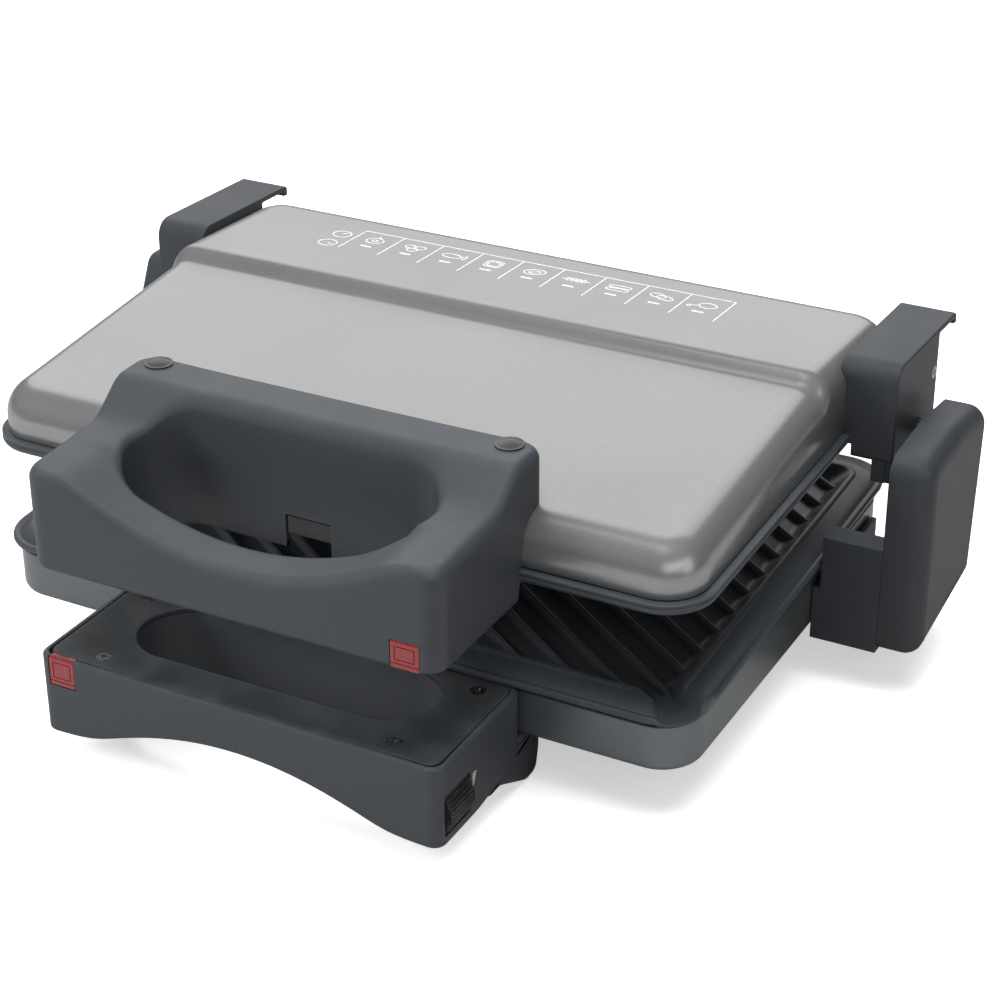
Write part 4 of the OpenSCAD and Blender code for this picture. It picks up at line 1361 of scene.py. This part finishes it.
@dataclass(frozen=True)
class Lamp:
    """Pilot lamp: a clear red block let into a handle's front corner."""

    name: str
    node: str
    body: Body
    x: float
    z: float
    high: float
    front: float
    grow: float = 0.15
    wide: float = 12.4
    deep: float = 7.7
    border: float = 1.9
    groove: float = 0.45
    foot: float = 3.6
    sill: float = 1.6

    def pocket(self, mesh: Mesh) -> Mesh:
        """Adds the pocket that takes the lens."""
        return block(mesh, (self.x - self.grow, self.front - 3.0, self.z - self.grow),
                     (self.x + self.wide + self.grow, self.front + self.deep + self.grow,
                      self.z + self.high + self.grow))

    def build(self) -> None:
        """Rounded block with a raised border and a cross of shallow grooves on its face."""
        cx, cz = self.x + self.wide / 2, self.z + self.high / 2
        a, b = self.wide / 2, self.high / 2
        outline = soft_outline([(cx - a, cz - b, 0.9), (cx + a, cz - b, 0.9), (cx + a, cz + b, 0.9),
                                (cx - a, cz + b, 0.9)], 5)
        mesh = prism(Mesh(), outline, self.front, self.front + self.deep, 0.8, 0.2, axes="xzy")
        lens = mesh.piece(self.name, self.body, RED, self.node)
        cuts = Mesh()
        left, right = cx - a + self.border, cx + a - self.border
        foot, top, g = cz - b + self.foot, cz + b - self.border, self.groove
        sill = foot - self.sill
        for x0, z0, x1, z1 in ((left, foot, left + g, top), (right - g, foot, right, top),
                               (left, top - g, right, top), (left, foot, right, foot + g),
                               (cx - a - 1.0, sill, cx + a + 1.0, sill + g)):
            block(cuts, (x0, self.front - 1.0, z0), (x1, self.front + g, z1))
        carve(lens, cuts)


LOWER_LAMP = Lamp("lower_lens", "lower_lamp_lens", Body.BASE, -86.0, 9.4, 12.8, -66.0)
UPPER_LAMP = Lamp("upper_lens", "upper_lamp_lens", Body.LID, 71.0, 61.6, 11.4, -65.2)


@dataclass
class HingeSide:
    """Everything at one end: the cover over the guide, the block, and the cap on the lid."""

    side: Side
    cover_line: tuple[tuple[float, float, float], ...]
    inner: float = 189.3
    outer: float = 207.6
    wall: float = 2.5
    ease: float = 8.0
    cap_in: float = 157.0
    cap_out: float = 182.0
    gland: tuple[float, float, float] = (198.5, 18.0, 5.1)
    cap_line: tuple[tuple[float, float, float], ...] = (
        (155, 70, 2), (207, 70, 3), (207, 109.2, 0.6), (225.2, 108.6, 0.6), (226.4, 106.2, 0.2),
        (229.0, 106.2, 0.2), (228.9, 111.0, 2.2), (155, 113.4, 8))

    @property
    def tag(self) -> str:
        """Which side, in small letters."""
        return self.side.name.lower()

    def sided(self, mesh: Mesh) -> Mesh:
        """The mesh on this piece's own side of the object: x times the side's sign."""
        mesh.points = [p * np.array([self.side.value, 1, 1]) for p in mesh.points]
        return mesh

    def cover(self) -> None:
        """The cover: its outline with a deep rounding on the outer end, hollow from inside."""
        outline = soft_outline(self.cover_line, 9)
        mesh = prism(Mesh(), outline, self.inner, self.outer, 0.3, self.ease, steps=9)
        shell = self.sided(mesh).piece(f"side_cover_{self.tag}", Body.BASE, HINGE, f"hinge_cover_{self.tag}")
        hollow = outline - loop_normals(outline) * self.wall
        cuts = prism(Mesh(), hollow, self.inner - 1.0, self.outer - self.wall, 0.0, 0.0, steps=2)
        if self.side is Side.RIGHT:
            x, z, r = self.gland
            rod(cuts, (x, 188.0, z), r, 24.0, "y")
        carve(shell, self.sided(cuts))

    def cap(self) -> None:
        """The cap: box with a rounded front, a lip that hooks down behind, and a hollow inside."""
        outline = soft_outline(self.cap_line, 8)
        mesh = prism(Mesh(), outline, self.cap_in, self.cap_out, 0.5, 0.9, steps=5)
        cap = self.sided(mesh).piece(f"lid_cap_{self.tag}", Body.LID, HINGE, f"hinge_cap_{self.tag}")
        cuts = block(Mesh(), (self.cap_in - 2, 157.5, 60.0), (self.cap_out - self.wall, 204.5, 105.5))
        block(cuts, (self.cap_in - 2, 153.0, 60.0), (163.7, 231.0, 76.0))
        rod(cuts, (self.cap_out - 5.0, 187.0, 75.0), 3.6, 7.0, "x")
        rod(cuts, (self.cap_out - 1.0, 203.0, 93.0), 2.9, 3.0, "x")
        carve(cap, self.sided(cuts))
        outline = soft_outline([(155.2, 61, 1), (174, 61, 1), (174, 72, 0), (155.2, 72, 0)], 5)
        heel = prism(Mesh(), outline, 178.5, 181.0, 0.3, 0.5)
        block(heel, (173.0, 155.2, 61.0), (179.0, 157.7, 72.0))
        self.sided(heel).piece(f"lid_cap_heel_{self.tag}", Body.LID, HINGE)

    def build(self) -> None:
        """Cover, cap, eased block, and finishes for the bracket and the rest."""
        self.cover()
        self.cap()
        eased(f"side_block_{self.tag}", Body.BASE, HINGE, f"hinge_block_{self.tag}", 0.6)
        dress(HINGE_STEEL, *(f"{part}_{self.tag}" for part in ("hinge_guide", "lid_bracket", "hinge_pin")))
        dress(NYLON, f"hinge_slider_{self.tag}")


@dataclass
class Dial:
    """Thermostat wheel: a knurled disc on its side, with a small printed wedge beside it."""

    x: float = 82.5
    z: float = 0.0
    radius: float = 11.5
    front: float = -61.0
    length: float = 18.0
    teeth: int = 40
    depth: float = 0.55

    def build(self) -> None:
        """Outline radius less depth times a sharpened cosine of the teeth; rounded ends."""
        t = np.linspace(0, 2 * math.pi, self.teeth * 8, endpoint=False)
        r = self.radius - self.depth * (0.5 - 0.5 * np.cos(self.teeth * t)) ** 3
        outline = np.stack([self.x + r * np.cos(t), self.z + r * np.sin(t)], -1)
        mesh = prism(Mesh(), outline, self.front, self.front + self.length, 1.0, 1.0, axes="xzy")
        mesh.piece("wheel", Body.DIAL, DIAL, "thermostat_wheel", sharp=60)
        mark = Mesh()
        for k in range(6):
            z = 0.6 + 1.1 * k
            block(mark, (90.6, -40.4, z), (91.04, -40.0 + 0.42 * (k + 1), z + 0.5))
        mark.piece("wheel_mark", Body.BASE, INK, sharp=35)


SIGNS = (
    (("oval", 0, 0, 4.2, 3.6), ("bar", 0, 3.8, 0, 6), ("oval", 0, 0, 1.3, 1.1)),
    (("oval", -2.6, 1.6, 2.5, 2), ("oval", 2.6, 1.6, 2.5, 2), ("oval", 0, -2, 2.5, 2)),
    (("oval", -1, 0, 4.6, 2.4), ("bar", 3.4, 0, 6.2, 2.4), ("bar", 3.4, 0, 6.2, -2.4),
     ("bar", 6.2, 2.4, 6.2, -2.4)),
    (("oval", 0, 0, 4, 3.9, 0, 0.4), ("oval", 0, 0, 2.7, 2.6, 0, 0.4)),
    (("oval", 0, 0, 5, 3.2, 20), ("oval", 0, 0, 2.6, 1.4, 20)),
    (("bar", -7, 0, 7, 0), *(("oval", k, 0, 1.1, 1.7) for k in (-3.6, -1.2, 1.2, 3.6))),
    (("oval", 0, 2, 5.4, 1.4, 0, 0.7), ("oval", 0, -1.6, 5.4, 1.4, 0, 0.7)),
    (("oval", -2, 0.8, 4, 2.2, -15), ("oval", 2, -0.8, 4, 2.2, -15)),
    (("oval", 1.4, 0, 4, 3), ("bar", -2.4, -0.8, -6, -2.6), ("oval", -6.4, -2.8, 0.8, 0.8)),
)


@dataclass
class PanelPrint:
    """Printed row on the rear panel: a rule, dividers and a plain sign in each cell."""

    lid: LidShell
    line: float = 0.42
    lift: float = 0.06
    first: float = -91.0
    pitch: float = 20.6
    rule_y: float = 194.0
    foot_y: float = 168.0

    def ribbon(self, mesh: Mesh, path: Array, closed: bool, width: float) -> None:
        """Adds a flat strip of ink along a path: the path plus and minus half the width."""
        normal = loop_normals(path) if closed else np.stack(
            [np.gradient(path[:, 1]), -np.gradient(path[:, 0])], -1)
        normal = normal / np.maximum(np.linalg.norm(normal, axis=1, keepdims=True), 1e-9)
        rows = np.stack([path - normal * width / 2, path + normal * width / 2])
        top = self.lid.top(rows[..., 0], rows[..., 1])
        upper = np.concatenate([rows, (top + self.lift)[..., None]], -1)
        lower = np.concatenate([rows, (top - self.lift)[..., None]], -1)
        mesh.grid(np.stack([lower[0], upper[0], upper[1], lower[1]]), wrap_u=closed, wrap_v=True)

    def sign(self, mesh: Mesh, index: int, x: float, y: float) -> None:
        """Adds one plain sign: ovals, bars and a rounded square, a different set in each cell."""
        t = np.linspace(0, 2 * math.pi, 40, endpoint=False)

        def oval(dx: float, dy: float, a: float, b: float, turn: float = 0.0,
                 power: float = 1.0) -> None:
            """Adds an oval: half sizes a and b, turned in degrees, squarer for a smaller power."""
            c = a * np.sign(np.cos(t)) * np.abs(np.cos(t)) ** power
            s = b * np.sign(np.sin(t)) * np.abs(np.sin(t)) ** power
            ca, sa = math.cos(math.radians(turn)), math.sin(math.radians(turn))
            ring = np.stack([x + dx + c * ca - s * sa, y + dy + c * sa + s * ca], -1)
            self.ribbon(mesh, ring, True, self.line)

        def bar(ax: float, ay: float, bx: float, by: float) -> None:
            """Adds a straight bar between two points."""
            self.ribbon(mesh, np.linspace([x + ax, y + ay], [x + bx, y + by], 4), False, self.line)

        for kind, *sizes in (*SIGNS[index], ("oval", 0, -8.4, 2.6, 0.5, 0, 0.5)):
            (oval if kind == "oval" else bar)(*sizes)

    def build(self) -> None:
        """Rule and dividers, nine signs, and a round pair at the left."""
        mesh = Mesh()
        last = self.first + 9 * self.pitch
        rule = np.linspace([self.first, self.rule_y], [last, self.rule_y], 20)
        self.ribbon(mesh, rule, False, self.line)
        for k in range(10):
            x = self.first + k * self.pitch
            self.ribbon(mesh, np.linspace([x, self.rule_y], [x, self.foot_y], 8), False, self.line)
            if k < 9:
                self.sign(mesh, k, x + self.pitch / 2, 184.0)
        t = np.linspace(0, 2 * math.pi, 40, endpoint=False)
        for y, hand in ((184.5, 50.0), (171.5, -20.0)):
            ring = np.stack([-98.5 + 4.4 * np.cos(t), y + 4.0 * np.sin(t)], -1)
            self.ribbon(mesh, ring, True, self.line)
            tip = 3.0 * np.array([math.cos(math.radians(hand)), math.sin(math.radians(hand))])
            self.ribbon(mesh, np.linspace([-98.5, y], tip + (-98.5, y), 3), False, self.line)
        mesh.piece("panel_print", Body.LID, INK, sharp=35)


@dataclass
class Fittings:
    """Small parts: bolt caps, clips, legs and pads, and the finishes of what lies inside."""

    cap_x: float = 79.4
    cap_y: float = 12.0
    flange: float = 119.0

    def bolt_caps(self) -> None:
        """Two domed caps: a turned profile with a rounded shoulder and a shallow crown."""
        mesh = Mesh()
        crown = [(r, 0.2 + 1.7 * (1 - (r / 5.9) ** 2)) for r in np.linspace(5.3, 0.0, 9)]
        profile = [(0.0, -3.0), (5.0, -3.0), (5.0, 0.0), (5.6, 0.0), (5.85, 0.25), (5.8, 0.55), (5.5, 0.6)]
        for s in (-1, 1):
            lathe(mesh, profile + crown, (s * self.cap_x, self.cap_y, self.flange), count=48)
        mesh.piece("bolt_caps", Body.LID, CAP, "handle_bolt_caps", sharp=60)

    def build(self) -> None:
        """Builds the small parts and dresses the rest."""
        self.bolt_caps()
        eased("lower_clip_strip", Body.LOWER_CLIP, CLIP_STEEL, "lower_plate_clip", 0.3)
        eased("upper_clip_strip", Body.UPPER_CLIP, CLIP_STEEL, "upper_plate_clip", 0.3)
        eased("legs", Body.BASE, HINGE, "rear_legs", 0.5)
        eased("gland", Body.BASE, RUBBER, "inlet_gland", 0.3)
        dress(RUBBER, "foot_pads")
        dress(SCREW, "lower_handle_screws", "upper_handle_screws", "handle_bolts", "foot_screws",
              "block_screws", "cap_screws")
        dress(HINGE_STEEL, "thermostat_spindle")
        dress(SHIELD, "lower_heat_shield", "upper_heat_shield")
        dress(SHEATH, "lower_heater", "upper_heater")
        dress(BULB, "lower_lamp_bulb", "upper_lamp_bulb")
        dress(CERAMIC, "thermostat_body")
        dress(COPPER, "thermostat_sensor")
        dress(NYLON, "terminal_block")


# ---------------------------------------------------------------- camera, light and floor


def aim(holder: bpy.types.Object, right: Array, up: Array, back: Array, place: Sequence[float]) -> None:
    """Places an object and turns its own axes to three unit directions."""
    matrix = np.eye(4)
    matrix[:3] = np.stack([right, up, back, place], -1)
    holder.matrix_world = Matrix(matrix.tolist())


@dataclass(frozen=True)
class View:
    """Camera place and angles."""

    place: tuple[float, float, float] = (0.44969, -0.77313, 0.53516)
    azimuth: float = 28.02
    elevation: float = 27.59
    roll: float = -0.22
    lens: float = 85.54

    def build(self) -> None:
        """Camera looking back along (sin a cos e, -cos a cos e, sin e), then rolled."""
        a, e, r = (math.radians(v) for v in (self.azimuth, self.elevation, self.roll))
        back = np.array([math.sin(a) * math.cos(e), -math.cos(a) * math.cos(e), math.sin(e)])
        right = np.array([math.cos(a), math.sin(a), 0.0])
        up = np.cross(back, right)
        right, up = right * math.cos(r) + up * math.sin(r), up * math.cos(r) - right * math.sin(r)
        camera = bpy.data.cameras.new("camera")
        camera.lens, camera.sensor_width = self.lens, 36.0
        camera.clip_start, camera.clip_end = 0.01, 50.0
        holder = linked("camera", camera)
        aim(holder, right, up, back, self.place)
        bpy.context.scene.camera = holder


@dataclass(frozen=True)
class Softbox:
    """An area light that faces the object's middle."""

    name: str
    place: tuple[float, float, float]
    size: tuple[float, float]
    power: float
    mirrored: bool = True
    aimed_at: float = 0.07

    def build(self) -> None:
        """Places the light and turns its face towards the middle."""
        light = bpy.data.lights.new(self.name, "AREA")
        light.shape, light.size, light.size_y, light.energy = "RECTANGLE", *self.size, self.power
        holder = linked(self.name, light)
        holder.visible_glossy = self.mirrored
        back = np.array(self.place) - np.array([0.0, 0.0, self.aimed_at])
        back /= np.linalg.norm(back)
        right = np.cross([0.0, 0.0, 1.0], back)
        right /= np.linalg.norm(right)
        aim(holder, right, np.cross(back, right), back, self.place)


@dataclass
class Studio:
    """Pale floor, soft lights and a plain bright surround."""

    floor_half: float = 6.0
    surround: tuple[float, float] = (0.12, 0.2)
    climb: tuple[float, float] = (0.1, 0.6)
    floor_seen: tuple[float, float] = (0.9, 0.5)
    floor_mirrored: float = 0.36
    boxes: tuple[Softbox, ...] = (
        Softbox("rear_top", (-0.75, 1.5, 1.2), (2.4, 1.7), 13.0),
        Softbox("front_left", (-1.5, -1.3, 1.0), (0.9, 1.2), 38.0, False),
        Softbox("front_strip", (-1.5, -1.3, 1.0), (0.35, 0.9), 4.0),
        Softbox("top", (0.1, -0.1, 1.9), (1.6, 1.6), 50.0, False),
        Softbox("top_strip", (-0.2, -0.3, 1.9), (0.9, 0.3), 1.0),
        Softbox("right", (1.6, -0.5, 0.8), (0.8, 1.2), 3.0),
        Softbox("front_right", (1.3, -1.7, 1.25), (1.6, 1.0), 6.0),
    )

    def build(self) -> None:
        """World, floor and lights."""
        world = bpy.data.worlds.new("surround")
        world.use_nodes = True
        net = Net(world.node_tree)
        split = net.node("ShaderNodeSeparateXYZ")
        net.join(net.node("ShaderNodeTexCoord").outputs["Generated"], split.inputs[0])
        lit = net.ramp(split.outputs["Z"], *self.climb, *self.surround)
        seen = net.node("ShaderNodeLightPath").outputs["Is Camera Ray"]
        net.join(net.math("MAXIMUM", lit, seen), world.node_tree.nodes["Background"].inputs["Strength"])
        world.node_tree.nodes["Background"].inputs["Color"].default_value = (1.0, 1.0, 1.0, 1.0)
        bpy.context.scene.world = world
        bpy.context.scene.view_settings.view_transform = "Standard"
        h = self.floor_half
        low = CAD_BOX[0][2]
        data = bpy.data.meshes.new("floor")
        data.from_pydata([(-h, -h, low), (h, -h, low), (h, h, low), (-h, h, low)], [], [(0, 1, 2, 3)])
        made = bpy.data.materials.new("floor")
        made.use_nodes = True
        shader = made.node_tree.nodes["Principled BSDF"]
        shader.inputs["Roughness"].default_value = 0.9
        shader.inputs["Specular IOR Level"].default_value = 0.0
        shader.inputs["Emission Color"].default_value = (1.0, 1.0, 1.0, 1.0)
        net = Net(made.node_tree)
        seen = net.node("ShaderNodeLightPath").outputs["Is Camera Ray"]
        shade, glow = self.floor_seen
        net.join(net.mix(seen, (self.floor_mirrored,) * 3, (shade,) * 3), shader.inputs["Base Color"])
        net.join(net.math("MULTIPLY", seen, glow), shader.inputs["Emission Strength"])
        data.materials.append(made)
        linked("floor", data)
        for box in self.boxes:
            box.build()


RIGHT_COVER = ((129, -4, 6), (197, 6, 8), (204, 84, 9), (166, 88, 30), (129, 86, 9))
LEFT_COVER = ((129, -4, 6), (197, 6, 8), (204, 86, 7), (177, 86, 8), (160, 50, 16), (129, 46, 6))


def main() -> None:
    """Builds each sub-assembly in order and reports every piece."""
    logging.basicConfig(level=logging.INFO, format="%(message)s")
    View().build()
    lid = LidShell()
    LowerPan().build()
    GrillPlate("lower_casting", "lower_plate", Body.BASE, 23.2, 2.7, 1, Spout(), 135.2).build()
    GrillPlate("upper_casting", "upper_plate", Body.LID, 75.0, 1.8, -1, None, 109.0).build()
    lid.build()
    LowerGrip().build()
    UpperGrip(lid).build()
    LOWER_LAMP.build()
    UPPER_LAMP.build()
    HingeSide(Side.RIGHT, RIGHT_COVER).build()
    HingeSide(Side.LEFT, LEFT_COVER).build()
    Dial().build()
    PanelPrint(lid).build()
    Fittings().build()
    Studio().build()


if __name__ == "__main__":
    main()
